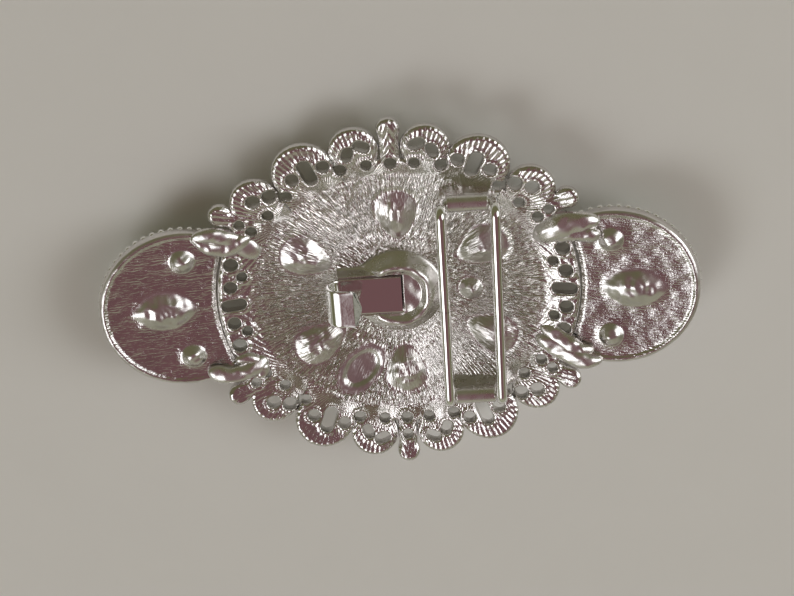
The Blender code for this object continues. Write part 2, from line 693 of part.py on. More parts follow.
def build_ear(name, up, parts, tools, look):
    shoulder = PLATE_Z + EAR_SHOULDER
    axis = PLATE_Z + LOOP_SHORT_Z
    neck = axis - KNUCKLE_BORE - 0.2 * MM
    wide, narrow = EAR_BASE / 2, KNUCKLE_HALF
    side = [(wide, PLATE_Z), (wide, shoulder), (narrow, neck), (narrow, axis)]
    outline = side + [(-x, z) for x, z in reversed(side)]
    body = prism(name, [outline], -EAR_THICK / 2, EAR_THICK / 2, parts)
    body.data.transform(Matrix.Translation((LOOP_MID_X, up * EAR_Y, 0.0)) @ Matrix.Rotation(math.pi / 2, 4, "X"))
    centre = (LOOP_MID_X, up * EAR_Y, axis)
    boolean(body, "UNION", rod(f"{name}_knuckle", KNUCKLE_RADIUS, 2 * KNUCKLE_HALF, 20, centre, tools))
    boolean(body, "DIFFERENCE", rod(f"{name}_bore", KNUCKLE_BORE, REACH, 16, centre, tools))
    boolean(body, "DIFFERENCE", clearance(f"{name}_seat", tools))
    finish(body, look)


def main():
    clear_scene()
    parts = new_collection("belt_buckle")
    tools = new_collection("cutters")
    cast = material("cast_silver_plate", (0.60, 0.58, 0.58), 0.32, 1.0)
    polished = material("polished_silver_plate", (0.72, 0.72, 0.70), 0.10, 1.0)
    solder = material("silver_solder", (0.66, 0.65, 0.62), 0.20, 1.0)
    crystal = material("foiled_crystal", (0.86, 0.90, 0.94), 0.05, 0.2)
    build_medallion(parts, tools, cast)
    build_medallion_stones(parts, crystal)
    for side, out in (("left", -1), ("right", 1)):
        build_wing(side, out, parts, tools, cast, crystal)
        build_bridge(f"upper_{side}_bridge", out, 1, parts, solder)
        build_bridge(f"lower_{side}_bridge", out, -1, parts, solder)
    build_hook_base(parts, tools, solder)
    build_hook(parts, tools, polished)
    build_loop(parts, polished)
    build_ear("upper_loop_ear", 1, parts, tools, solder)
    build_ear("lower_loop_ear", -1, parts, tools, solder)


main()
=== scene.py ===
"""The looks of a three-part rhinestone belt buckle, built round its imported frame.

The buckle lies face down on its stones with its back up. Every new piece is a surface
worked out with numpy, in metres, in the frame's own place.
"""

import math

import bmesh
import bpy
import numpy as np
from bpy.props import FloatProperty, FloatVectorProperty, PointerProperty
from mathutils import Matrix, Vector


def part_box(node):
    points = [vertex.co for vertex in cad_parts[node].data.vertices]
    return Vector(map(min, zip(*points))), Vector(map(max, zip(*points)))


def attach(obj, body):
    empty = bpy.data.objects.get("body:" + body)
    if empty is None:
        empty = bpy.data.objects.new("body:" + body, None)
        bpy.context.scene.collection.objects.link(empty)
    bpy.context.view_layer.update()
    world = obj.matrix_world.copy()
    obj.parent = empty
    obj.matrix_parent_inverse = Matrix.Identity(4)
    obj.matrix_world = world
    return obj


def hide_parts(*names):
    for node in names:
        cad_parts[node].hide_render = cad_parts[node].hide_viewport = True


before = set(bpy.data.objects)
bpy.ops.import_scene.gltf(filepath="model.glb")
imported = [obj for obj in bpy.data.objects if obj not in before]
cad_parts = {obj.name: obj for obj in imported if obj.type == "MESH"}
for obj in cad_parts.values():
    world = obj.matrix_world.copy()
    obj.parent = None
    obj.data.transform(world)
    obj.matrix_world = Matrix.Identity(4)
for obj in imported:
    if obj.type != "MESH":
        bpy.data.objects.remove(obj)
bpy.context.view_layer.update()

bl_info = {
    "name": "Rhinestone Belt Buckle",
    "version": (1, 0, 0),
    "blender": (4, 5, 0),
    "location": "View3D > Sidebar > Buckle",
    "description": "Builds the castings, stones, hook and wire loop of a belt buckle",
    "category": "Object",
}

MM = 0.001

# Sizes read from the frame
WIRE_LOW, WIRE_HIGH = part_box("belt_loop")
HOOK_LOW, HOOK_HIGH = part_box("belt_hook")
BASE_LOW, BASE_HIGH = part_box("hook_base")

# The medallion, as its casting is designed
PLATE_Z = 6.0 * MM
PLATE_THICK = 1.6 * MM
DISH_RISE = 4.5 * MM
DISH_RADIUS = 39.0 * MM
SIDE_X = 36.9 * MM                       # the sides bulge a little
SIDE_RADIUS = 34.0 * MM
SIDE_HALF = 17.0 * MM
PLATE_OVAL = (33.0 * MM, 30.0 * MM)
PANEL_OVAL = (29.3 * MM, 26.2 * MM)      # the unpierced middle
SCALLOPS = [(7.0, 32.2, 5.0), (17.2, 28.1, 6.4), (27.3, 22.6, 5.0)]     # mm, one quarter
KNOBS = [(0.0, 36.6), (34.4, 20.4)]
KNOB_RADIUS = 2.4
KNOB_STEM = 2.0
# Piercings of one quarter, mm: x, y, half the straight stretch in x and y, radius
PIERCINGS = [
    (4.7, 28.9, 0, 0, 0.95), (9.9, 28.2, 0, 0, 1.05), (5.4, 33.2, 0.5, 0.2, 1.0),
    (8.3, 31.6, 0.2, -0.5, 0.95), (13.2, 29.3, 0, 0, 1.15), (16.4, 28.2, 0.55, 1.4, 1.2),
    (19.5, 26.9, 0, 0, 1.15), (20.9, 23.2, 0, 0, 0.95), (24.3, 23.7, 0, 0, 1.3),
    (27.6, 22.9, 0, 0, 1.25), (25.0, 19.4, 0, 0, 0.95), (28.6, 16.2, 0, 0, 0.95),
    (30.8, 18.0, 0, 0, 0.9), (34.0, 4.1, 0, 0, 1.2), (31.5, 6.2, 0, 0, 0.9), (33.4, 9.2, 0, 0, 1.3),
]
MIDDLE_PIERCINGS = [
    (33.7, 0, 1.3, 0, 1.15), (-33.7, 0, 1.3, 0, 1.15),
    (0, 29.0, 0, 0, 1.05), (0, -29.0, 0, 0, 1.05), (0, -32.6, 0, 0, 0.95),
]
OVAL_AT = (-8.8, -17.5)                  # the bare oval recess, mm
OVAL_SIZE = (9.4, 5.9)
OVAL_TURN = math.radians(48.0)
BOSS_HEIGHT = 1.7 * MM
PEAR = (11.0, 8.7)
PEAR_TOP_Y = 17.6
PEAR_SIDE = (18.3, 9.8)
ROUND_CUP = 5.2
ROUND_X = 14.4
CENTRE_CUP = 17.4
CUP_RIM_Z = 1.6 * MM
CUP_WALL = 0.55                          # mm
STONE_GAP = 0.1                          # mm, all round a stone in its cup
SCALLOP_BLEND = 0.5 * MM
# How far each boss strays from the middle of its cup, mm
STRAYS = {
    "upper_pear_stone": (0.4, -0.5), "lower_pear_stone": (0.5, -0.3),
    "upper_left_pear_stone": (0.1, -0.9), "lower_left_pear_stone": (1.4, -0.9),
    "upper_right_pear_stone": (-1.0, -0.3), "lower_right_pear_stone": (0.3, -0.3),
    "right_small_stone": (0.4, -0.2),
}

# The wings, in their own frame on the chord
WING_RADIUS = 17.3 * MM
WING_SPLIT = 0.4 * MM                    # between a wing and the medallion
WING_CHORD_X = SIDE_X + WING_SPLIT
WING_CENTRE = 6.3 * MM
WING_Z = PLATE_Z + 4.2 * MM
WING_TILT = math.radians(8.0)
WING_DEPTH = 3.0 * MM
WING_FLOOR = 0.5 * MM
WING_PLATE = 1.5 * MM
WING_FRONT = -WING_FLOOR - WING_PLATE
WING_CUP_RIM = WING_FRONT - 1.6 * MM
NAVETTE = (13.4, 8.6)
NAVETTE_X = 10.4                         # mm from the chord
WING_ROUND = 5.3
WING_ROUND_AT = (5.7, 10.8)

# The fittings on the back
WIRE_RADIUS = 1.08 * MM
WIRE_BEND = 1.6 * MM
HOOK_THICK = 0.85 * MM
HOOK_END = -7.4 * MM                     # where the flap stops
COLLAR_RADIUS = 6.2 * MM
COLLAR_RISE = 3.3 * MM
TONGUE_HALF = 5.7 * MM
TONGUE_RISE = 2.5 * MM
POCKET_HALF = 4.25 * MM                  # the flat seat of the strip
POCKET_END = 0.85 * MM
POCKET_RISE = 1.8 * MM

# The two bright parts of the room, as directions from the buckle
LEFT_GLOW = (-0.53, -0.42, 0.737)
RIGHT_GLOW = (0.765, 0.12, 0.633)
LAMP_REACH = 0.8

# The camera
LENS = 77.1
LEAN = math.radians(26.95)
YAW = math.radians(2.04)
ROLL = math.radians(3.89)
CAMERA_AIM = (-0.36 * MM, 0.2 * MM, PLATE_Z + DISH_RISE)
CAMERA_REACH = 345 * MM


# ---------------------------------------------------------------- settings

def linear(code):
    """An sRGB hex colour as linear light."""
    value = [int(code[i:i + 2], 16) / 255 for i in (0, 2, 4)]
    return tuple(v / 12.92 if v <= 0.04045 else ((v + 0.055) / 1.055) ** 2.4 for v in value)


class BuckleSizes(bpy.types.PropertyGroup):
    """Sizes that change how finely the buckle is finished."""
    grid: FloatProperty(name="Casting Grid", description="Width of one facet of a casting",
                        default=0.31 * MM, min=0.2 * MM, unit="LENGTH", precision=5)
    edge: FloatProperty(name="Edge Round", description="Radius of a casting's soft edge",
                        default=0.32 * MM, unit="LENGTH", precision=5)
    lump: FloatProperty(name="Casting Lumps", description="Unevenness of the cast backs",
                        default=0.07 * MM, unit="LENGTH", precision=5)
    grain: FloatProperty(name="Grain Depth", description="Depth of the scratched grain",
                         default=0.17 * MM, unit="LENGTH", precision=5)
    bead: FloatProperty(name="Bead", description="Diameter of the beads on the front rims",
                        default=1.7 * MM, unit="LENGTH", precision=5)
    table: FloatProperty(name="Table Share", description="Width of a stone's table over its girdle",
                         default=0.6, subtype="FACTOR")


class BuckleColours(bpy.types.PropertyGroup):
    """Colours of the buckle and its stage."""
    cast: FloatVectorProperty(name="Cast Plate", description="Silver plating over the castings",
                              default=linear("e7e4e3"), size=3, subtype="COLOR")
    polished: FloatVectorProperty(name="Polished Plate", description="Silver plating on wire and strip",
                                  default=linear("f3f3f1"), size=3, subtype="COLOR")
    crystal: FloatVectorProperty(name="Crystal", description="Body colour of the stones",
                                 default=linear("fcfdff"), size=3, subtype="COLOR")
    floor: FloatVectorProperty(name="Floor", description="The pale floor",
                               default=linear("f0f0ec"), size=3, subtype="COLOR")


def sizes():
    return bpy.context.scene.buckle_sizes


def colours():
    return bpy.context.scene.buckle_colours


# ---------------------------------------------------------------- shape in the flat

def ease(low, high, x):
    """0 below low, 1 above high, and a smooth S between: 3t^2 - 2t^3."""
    t = np.clip((x - low) / (high - low), 0.0, 1.0)
    return t * t * (3 - 2 * t)


def hump(x, middle, width):
    """A bell: exp(-((x - middle) / width)^2)."""
    return np.exp(-((x - middle) / width) ** 2)


def capsule(p, x, y, dx, dy, radius):
    """How far p lies inside a round-ended bar: radius less the distance to its middle line."""
    a = np.array([x - dx, y - dy])
    way = np.array([2 * dx, 2 * dy])
    t = np.clip((p - a) @ way / max(way @ way, 1e-18), 0.0, 1.0)
    return radius - np.linalg.norm(p - a - t[..., None] * way, axis=-1)


def oval(p, a, b):
    """How far p lies inside an oval, near its edge: (1 - |p / axes|) times the short axis."""
    return (1 - np.hypot(p[..., 0] / a, p[..., 1] / b)) * min(a, b)


def soft_max(a, b, k):
    """The larger of two fields, rounded where they cross by k."""
    h = np.clip(k - np.abs(a - b), 0.0, None)
    return np.maximum(a, b) + h * h / (4 * k)


def folded(p):
    """Fold all four quarters onto the first."""
    return np.abs(p)


def turned(p, x, y, angle):
    """Coordinates along and across a piece that stands at (x, y), turned by angle."""
    c, s = math.cos(angle), math.sin(angle)
    dx, dy = p[..., 0] - x, p[..., 1] - y
    return c * dx + s * dy, -s * dx + c * dy


def waves(p, pitch, seed):
    """Gentle unevenness from -1 to 1: nine sine waves of about one pitch, in seeded directions."""
    pick = np.random.default_rng(seed)
    total = np.zeros(p.shape[:-1])
    for turn, phase, stretch in zip(pick.uniform(0, 2 * math.pi, 9), pick.uniform(0, 7, 9),
                                    pick.uniform(0.7, 1.5, 9)):
        along = p[..., 0] * math.cos(turn) + p[..., 1] * math.sin(turn)
        total += np.sin(2 * math.pi * along / (pitch * stretch) + phase)
    return total / 4.5


# ---------------------------------------------------------------- outlines of stones and cups

def round_outline(t, length, width):
    """A circle."""
    return np.stack([length / 2 * np.cos(t), width / 2 * np.sin(t)], -1)


def pear_outline(t, length, width):
    """A pear, narrow end to +x: width falls as 1 - 0.34 cos t."""
    taper = (1 - 0.34 * np.cos(t)) / 1.06
    return np.stack([length / 2 * np.cos(t), width / 2 * np.sin(t) * taper], -1)


def navette_outline(t, length, width):
    """A boat with two points: y is sin t times |sin t|^0.45."""
    return np.stack([length / 2 * np.cos(t), width / 2 * np.sin(t) * np.abs(np.sin(t)) ** 0.45], -1)


def filled(p, x, y, turn, shape, length, width):
    """Square of how far out p is in a stone's outline: 0 in its middle and 1 on its edge."""
    u, v = turned(p, x * MM, y * MM, turn)
    a, b = length * MM / 2, width * MM / 2
    s = np.clip(u / a, -1, 1)
    if shape is pear_outline:
        b = b * (1 - 0.34 * s) / 1.06
    if shape is navette_outline:
        b = b * np.clip(1 - s * s, 1e-4, 1) ** 0.3
    return (u / a) ** 2 + (v / b) ** 2


def stone_places():
    """Each medallion stone: node, outline, length and width in mm, x, y and turn."""
    places = [("centre_stone", round_outline, CENTRE_CUP, CENTRE_CUP, 0.0, 0.0, 0.0)]
    for row, up in (("upper", 1), ("lower", -1)):
        turn = -up * math.pi / 2
        places.append((f"{row}_pear_stone", pear_outline, *PEAR, 0.0, up * PEAR_TOP_Y, turn))
        for side, out in (("right", 1), ("left", -1)):
            x, y = out * PEAR_SIDE[0], up * PEAR_SIDE[1]
            turn = math.atan2(y, x) + math.pi
            places.append((f"{row}_{side}_pear_stone", pear_outline, *PEAR, x, y, turn))
    for side, out in (("right", 1), ("left", -1)):
        places.append((f"{side}_small_stone", round_outline, ROUND_CUP, ROUND_CUP, out * ROUND_X, 0.0, 0.0))
    return places


def boss_places():
    """The bosses on the medallion's back that nothing covers."""
    for node, shape, length, width, x, y, turn in stone_places():
        if node in STRAYS:
            yield shape, length, width, x + STRAYS[node][0], y + STRAYS[node][1], turn


def wing_stone_places(out):
    """Each stone of the wing on that side, in the wing's frame and the same terms."""
    x, y = WING_ROUND_AT[0], out * WING_ROUND_AT[1]
    return [
        ("navette_stone", navette_outline, *NAVETTE, NAVETTE_X, 0.0, 0.0),
        ("upper_stone", round_outline, WING_ROUND, WING_ROUND, x, y, 0.0),
        ("lower_stone", round_outline, WING_ROUND, WING_ROUND, x, -y, 0.0),
    ]


# ---------------------------------------------------------------- meshes

def mesh_piece(name, verts, faces, material, smooth=True, grain=None):
    """Put arrays of corners and faces into a mesh object that rides on the buckle."""
    mesh = bpy.data.meshes.new(name)
    mesh.from_pydata(verts.reshape(-1, 3).tolist(), [], [f.tolist() for f in faces])
    mesh.validate()
    if grain is not None:
        field = mesh.attributes.new("grain", "FLOAT_VECTOR", "POINT")
        field.data.foreach_set("vector", grain.astype(np.float32).ravel())
    mesh.materials.append(material)
    if smooth:
        mesh.shade_smooth()
    obj = bpy.data.objects.new(name, mesh)
    bpy.context.scene.collection.objects.link(obj)
    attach(obj, "root")
    return obj


def outward(obj):
    """Turn all faces of a closed mesh outwards."""
    bm = bmesh.new()
    bm.from_mesh(obj.data)
    bmesh.ops.remove_doubles(bm, verts=bm.verts, dist=1e-7)
    bmesh.ops.recalc_face_normals(bm, faces=bm.faces)
    bm.to_mesh(obj.data)
    bm.free()
    return obj


def skin(rings, closed):
    """Faces over a stack of rings of corners, with a flat cap at both ends unless closed."""
    count, around = rings.shape[:2]
    index = np.arange(count * around).reshape(count, around)
    last = count if closed else count - 1
    a = index[:last]
    b = np.roll(index, -1, 0)[:last]
    quads = np.stack([a, np.roll(a, -1, 1), np.roll(b, -1, 1), b], -1).reshape(-1, 4)
    return list(quads) if closed else list(quads) + [index[0][::-1], index[-1]]


def placed(matrix, p):
    """Move corners by a matrix."""
    m = np.array(matrix)
    return p @ m[:3, :3].T + m[:3, 3]


def casting(name, inside, back, front, low, high, step, grain, material, place):
    """A cast plate cut out of a square grid.

    inside(p) says how far p lies within the edge. Squares whose middle is inside stay, and
    their outer corners slide down the slope of inside to one edge radius from the edge.
    back(p) and front(p) are the heights of the two faces, and a half round wall, whose
    corners go out by radius * sin and across by (1 - cos) / 2, joins them.
    """
    radius = sizes().edge
    count = np.ceil((np.array(high) - low) / step).astype(int)
    gx = low[0] + step * np.arange(count[0] + 1)
    gy = low[1] + step * np.arange(count[1] + 1)
    p = np.stack(np.meshgrid(gx, gy, indexing="ij"), -1)
    keep = inside((p[:-1, :-1] + p[1:, 1:]) / 2) > radius * 0.7
    keep[[0, -1], :] = False
    keep[:, [0, -1]] = False
    for _ in range(2):
        cross = keep[:-1, :-1] & keep[1:, 1:] & ~keep[1:, :-1] & ~keep[:-1, 1:]
        keep[1:, :-1] |= cross
        cross = ~keep[:-1, :-1] & ~keep[1:, 1:] & keep[1:, :-1] & keep[:-1, 1:]
        keep[:-1, :-1] |= cross
    index = np.arange(p[..., 0].size).reshape(p.shape[:2])
    i, j = np.nonzero(keep)
    quads = np.stack([index[i, j], index[i + 1, j], index[i + 1, j + 1], index[i, j + 1]], -1)
    edges = []
    for k, (di, dj) in enumerate(((0, -1), (1, 0), (0, 1), (-1, 0))):
        open_side = ~keep[i + di, j + dj]
        edges.append(np.stack([quads[open_side, k], quads[open_side, (k + 1) % 4]], -1))
    edges = np.concatenate(edges)
    flat = p.reshape(-1, 2).copy()
    rim = np.unique(edges)
    inner = np.setdiff1d(np.unique(quads), rim)
    for _ in range(4):
        slope = downhill(inside, flat[rim], step * 0.2)
        reach = inside(flat[rim]) - radius
        flat[rim] += slope * np.clip(reach, -step, step)[:, None]
    row = index.shape[1]
    for _ in range(3):
        flat[inner] = (flat[inner - 1] + flat[inner + 1] + flat[inner - row] + flat[inner + row]) / 4
    used = np.unique(quads)
    at = np.full(len(flat), -1)
    at[used] = np.arange(len(used))
    q = flat[used]
    top, bottom = back(q), front(q)
    out = downhill(inside, flat[rim], step * 0.2)
    walls = 7
    layers = [np.column_stack([q, top]), np.column_stack([q, bottom])]
    for k in range(1, walls):
        a = math.pi * k / walls
        edge = flat[rim] + out * radius * math.sin(a)
        share = (1 - math.cos(a)) / 2
        layers.append(np.column_stack([edge, top[at[rim]] * (1 - share) + bottom[at[rim]] * share]))
    verts = np.concatenate(layers)
    ring = np.full((walls + 1, len(flat)), -1)
    ring[0, used] = at[used]
    ring[walls, used] = at[used] + len(used)
    for k in range(1, walls):
        ring[k, rim] = 2 * len(used) + (k - 1) * len(rim) + np.arange(len(rim))
    a, b = edges[:, 0], edges[:, 1]
    faces = [at[quads], at[quads][:, ::-1] + len(used)]
    for k in range(walls):
        faces.append(np.stack([ring[k, b], ring[k, a], ring[k + 1, a], ring[k + 1, b]], -1))
    marks = grain(q)
    marks = np.concatenate([marks, marks] + [marks[at[rim]]] * (walls - 1))
    return mesh_piece(name, placed(place, verts), np.concatenate(faces), material, grain=marks)


def downhill(field, p, step):
    """Unit steps down the slope of a field, from central differences."""
    x, y = np.array([step, 0.0]), np.array([0.0, step])
    slope = np.stack([field(p + x) - field(p - x), field(p + y) - field(p - y)], -1)
    return -slope / np.maximum(np.linalg.norm(slope, axis=-1, keepdims=True), 1e-12)


def rail(corners, bends, steps):
    """A path with round corners: places along it and two unit vectors across it.

    At each corner the path and its cross vectors turn together, by Rodrigues' rotation,
    through the angle between the straight stretches, on an arc of the bend's radius.
    """
    corners = [np.array(c, float) for c in corners]
    ahead = corners[1] - corners[0]
    ahead = ahead / np.linalg.norm(ahead)
    side = np.cross(ahead, [0.0, 0.0, 1.0] if abs(ahead[2]) < 0.9 else [0.0, 1.0, 0.0])
    side /= np.linalg.norm(side)
    up = np.cross(side, ahead)
    places, sides, ups = [corners[0][None]], [side[None]], [up[None]]
    for before, corner, after, bend in zip(corners, corners[1:], corners[2:], bends):
        new = (after - corner) / np.linalg.norm(after - corner)
        axis = np.cross(ahead, new)
        angle = math.atan2(np.linalg.norm(axis), ahead @ new)
        axis = axis / np.linalg.norm(axis)
        inset = bend * math.tan(angle / 2)
        start = corner - ahead * inset
        hub = start + np.cross(axis, ahead) * bend
        t = np.linspace(0.0, angle, steps)[:, None]
        spin = lambda v: v * np.cos(t) + np.cross(axis, v) * np.sin(t) + axis * (axis @ v) * (1 - np.cos(t))
        places.append(hub + spin(start - hub))
        sides.append(spin(side))
        ups.append(spin(up))
        side, up, ahead = sides[-1][-1], ups[-1][-1], new
    places.append(corners[-1][None])
    sides.append(side[None])
    ups.append(up[None])
    return np.concatenate(places), np.concatenate(sides), np.concatenate(ups)


def carried(path, section):
    """A section, (count, 2) or one for each place, carried along a path."""
    places, sides, ups = path
    section = np.broadcast_to(section, (len(places),) + np.shape(section)[-2:])
    return places[:, None] + section[..., :1] * sides[:, None] + section[..., 1:] * ups[:, None]


# ---------------------------------------------------------------- heights

def plate_back(p):
    """The dished back: a rise with the square of the distance from the middle."""
    return PLATE_Z + DISH_RISE * (np.hypot(p[..., 0], p[..., 1]) / DISH_RADIUS) ** 2


def medallion_outline(p):
    """Inside distance of the scalloped edge."""
    q = folded(p)
    side = capsule(q, SIDE_X - SIDE_RADIUS, 0, 0, 0, SIDE_RADIUS)
    field = np.maximum(np.minimum(side, SIDE_HALF - q[..., 1]), oval(q, *PLATE_OVAL))
    for x, y, r in SCALLOPS:
        field = soft_max(field, capsule(q, x * MM, y * MM, 0, 0, r * MM), SCALLOP_BLEND)
    for x, y in KNOBS:
        field = soft_max(field, capsule(q, x * MM, y * MM, 0, 0, KNOB_RADIUS * MM), SCALLOP_BLEND)
        stem = capsule(q, x * MM * 0.9, y * MM * 0.9, x * MM * 0.1, y * MM * 0.1, KNOB_STEM * MM)
        field = soft_max(field, stem, SCALLOP_BLEND)
    return field


def medallion_inside(p):
    """Inside distance of the scalloped edge, less the piercings."""
    return np.minimum(medallion_outline(p), from_piercings(p))


def from_piercings(p):
    """Distance from the nearest piercing's edge, negative inside it."""
    q = folded(p)
    nearest = np.full(p.shape[:-1], 1.0)
    for hole in PIERCINGS:
        nearest = np.minimum(nearest, -capsule(q, *[v * MM for v in hole]))
    for hole in MIDDLE_PIERCINGS:
        nearest = np.minimum(nearest, -capsule(p, *[v * MM for v in hole]))
    return nearest


def boss(full, height):
    """A cup's underside: height * (1 - full), with a soft skirt that starts inside the edge."""
    dome = 1 - full
    k = 0.36
    return height * np.where(dome > k, dome, k * np.exp(np.clip(dome, -9, k) / k - 1)) * 0.97


def in_oval(p):
    """Inside distance of the bare oval recess."""
    u, v = turned(p, OVAL_AT[0] * MM, OVAL_AT[1] * MM, OVAL_TURN)
    return oval(np.stack([u, v], -1), OVAL_SIZE[0] / 2 * MM, OVAL_SIZE[1] / 2 * MM)


def medallion_back(p):
    """Dish, proud border, rounded edge, lips round the piercings, bosses, lumps and oval recess."""
    z = plate_back(p)
    out = -oval(p, *PANEL_OVAL)
    z = z + 0.30 * MM * ease(0.0, 1.6 * MM, out) + 0.05 * np.clip(out, 0.0, 4 * MM)
    z = z - 0.55 * MM * ease(1.1 * MM, 0.0, medallion_outline(p)) ** 1.5
    z = z + 0.24 * MM * hump(from_piercings(p), 0.55 * MM, 0.34 * MM)
    z = z + sizes().lump * waves(p, 4.0 * MM, 3) + 0.35 * sizes().lump * waves(p, 1.3 * MM, 4)
    for shape, length, width, x, y, turn in boss_places():
        full = filled(p, x, y, turn, shape, length, width)
        lumpy = 1 + 0.12 * waves(p, 2.8 * MM, int(100 + x + 3 * y)) + 0.03 * waves(p, 1.1 * MM, int(60 + y))
        z = z + boss(full, BOSS_HEIGHT) * lumpy
    z = z + 0.34 * MM * hump(in_oval(p), -0.6 * MM, 0.75 * MM)
    return z - 0.35 * MM * ease(0.0, 0.45 * MM, in_oval(p))


def medallion_front(p):
    """The front: a fluted field, a raised ring round the panel and a raised lip round each piercing."""
    r = np.hypot(p[..., 0], p[..., 1])
    turn = np.arctan2(p[..., 1], p[..., 0])
    z = plate_back(p) - PLATE_THICK
    flutes = ease(9.5 * MM, 12 * MM, r) * ease(0.0, 2 * MM, oval(p, *PANEL_OVAL))
    z = z - 0.30 * MM * flutes * (0.5 + 0.5 * np.cos(36 * turn))
    z = z - 0.75 * MM * hump(oval(p, *PANEL_OVAL), 0.0, 0.9 * MM)
    z = z - 0.35 * MM * hump(from_piercings(p), 0.6 * MM, 0.35 * MM)
    return z


def medallion_grain(p):
    """Phase and strength of the cross ridges, and how smooth the metal is."""
    q = folded(p)
    border = ease(-0.5 * MM, 1.5 * MM, -oval(p, *PANEL_OVAL))
    phase = np.zeros(p.shape[:-1])
    best = np.full(p.shape[:-1], -1.0)
    for x, y, r in SCALLOPS:
        depth = capsule(q, x * MM, y * MM, 0, 0, r * MM)
        turn = np.arctan2(q[..., 1] - y * MM * 0.75, q[..., 0] - x * MM * 0.75)
        phase = np.where(depth > best, turn * 76, phase)
        best = np.maximum(best, depth)
    smooth = 0.88 * ease(-1.7 * MM, -0.8 * MM, in_oval(p))
    for shape, length, width, x, y, turn in boss_places():
        full = filled(p, x, y, turn, shape, length, width)
        smooth = np.maximum(smooth, 0.80 * ease(1.45, 0.9, full))
    return np.stack([phase, border, smooth], -1)


def wing_disc(p):
    """Inside distance of the wing's round rim."""
    return WING_RADIUS - np.hypot(p[..., 0] - WING_CENTRE, p[..., 1])


def wing_inside(p):
    """The disc, less the medallion's side and a hair's gap, with the two corners eased."""
    hollow = SIDE_RADIUS + WING_SPLIT
    away = np.hypot(p[..., 0] + hollow, p[..., 1]) - hollow + WING_SPLIT - 0.07 * MM
    return -soft_max(-wing_disc(p), -away, 0.8 * MM)


def wing_back(p, out):
    """A flat floor inside a raised rim, soft along the hollow side, with the three bosses."""
    z = -WING_FLOOR * ease(0.7 * MM, 1.7 * MM, wing_disc(p))
    z = z + 0.9 * sizes().lump * waves(p, 3.2 * MM, 8 + out)
    z = z + 0.6 * MM * ((np.hypot(p[..., 0] - WING_CENTRE, p[..., 1]) / WING_RADIUS) ** 2 - 0.9)
    z = z - 0.5 * MM * ease(1.3 * MM, 0.0, wing_inside(p)) ** 1.5
    for _, shape, length, width, x, y, turn in wing_stone_places(out):
        full = filled(p, x, y, turn, shape, length, width)
        z = z + boss(full, BOSS_HEIGHT) * (1 + 0.14 * waves(p, 2.4 * MM, int(7 * length + abs(y))))
    return z


def wing_front(p):
    """A deep front rim round a fluted floor."""
    r = np.hypot(p[..., 0] - WING_CENTRE, p[..., 1])
    turn = np.arctan2(p[..., 1], p[..., 0] - WING_CENTRE)
    floor = WING_FRONT - 0.2 * MM * np.cos(24 * turn) * ease(3 * MM, 8 * MM, r)
    share = ease(1.4 * MM, 2.1 * MM, wing_disc(p))
    return -WING_DEPTH * (1 - share) + floor * share


def wing_grain(p, out):
    """No ridges, and how smooth the metal is: bare on the floor, bright on the rim and bosses."""
    smooth = ease(1.3 * MM, 0.5 * MM, wing_disc(p))
    for _, shape, length, width, x, y, turn in wing_stone_places(out):
        smooth = np.maximum(smooth, 0.85 * ease(1.4, 0.9, filled(p, x, y, turn, shape, length, width)))
    return np.stack([np.zeros_like(smooth), np.zeros_like(smooth), smooth], -1)


# ---------------------------------------------------------------- materials

def feed(tree, node, inputs):
    """Feed a node's sockets with values or with other sockets."""
    for name, value in inputs.items():
        if isinstance(value, bpy.types.NodeSocket):
            tree.links.new(value, node.inputs[name])
        else:
            node.inputs[name].default_value = value


def add(tree, kind, inputs=None, **settings):
    """Add a shader node, set it up and feed its sockets."""
    node = tree.nodes.new(kind)
    for name, value in settings.items():
        setattr(node, name, value)
    feed(tree, node, inputs or {})
    return node


def fresh(name):
    """A new material: itself, its tree, its shader and the place on the piece."""
    made = bpy.data.materials.new(name)
    made.use_nodes = True
    tree = made.node_tree
    return made, tree, tree.nodes["Principled BSDF"], add(tree, "ShaderNodeTexCoord").outputs["Object"]


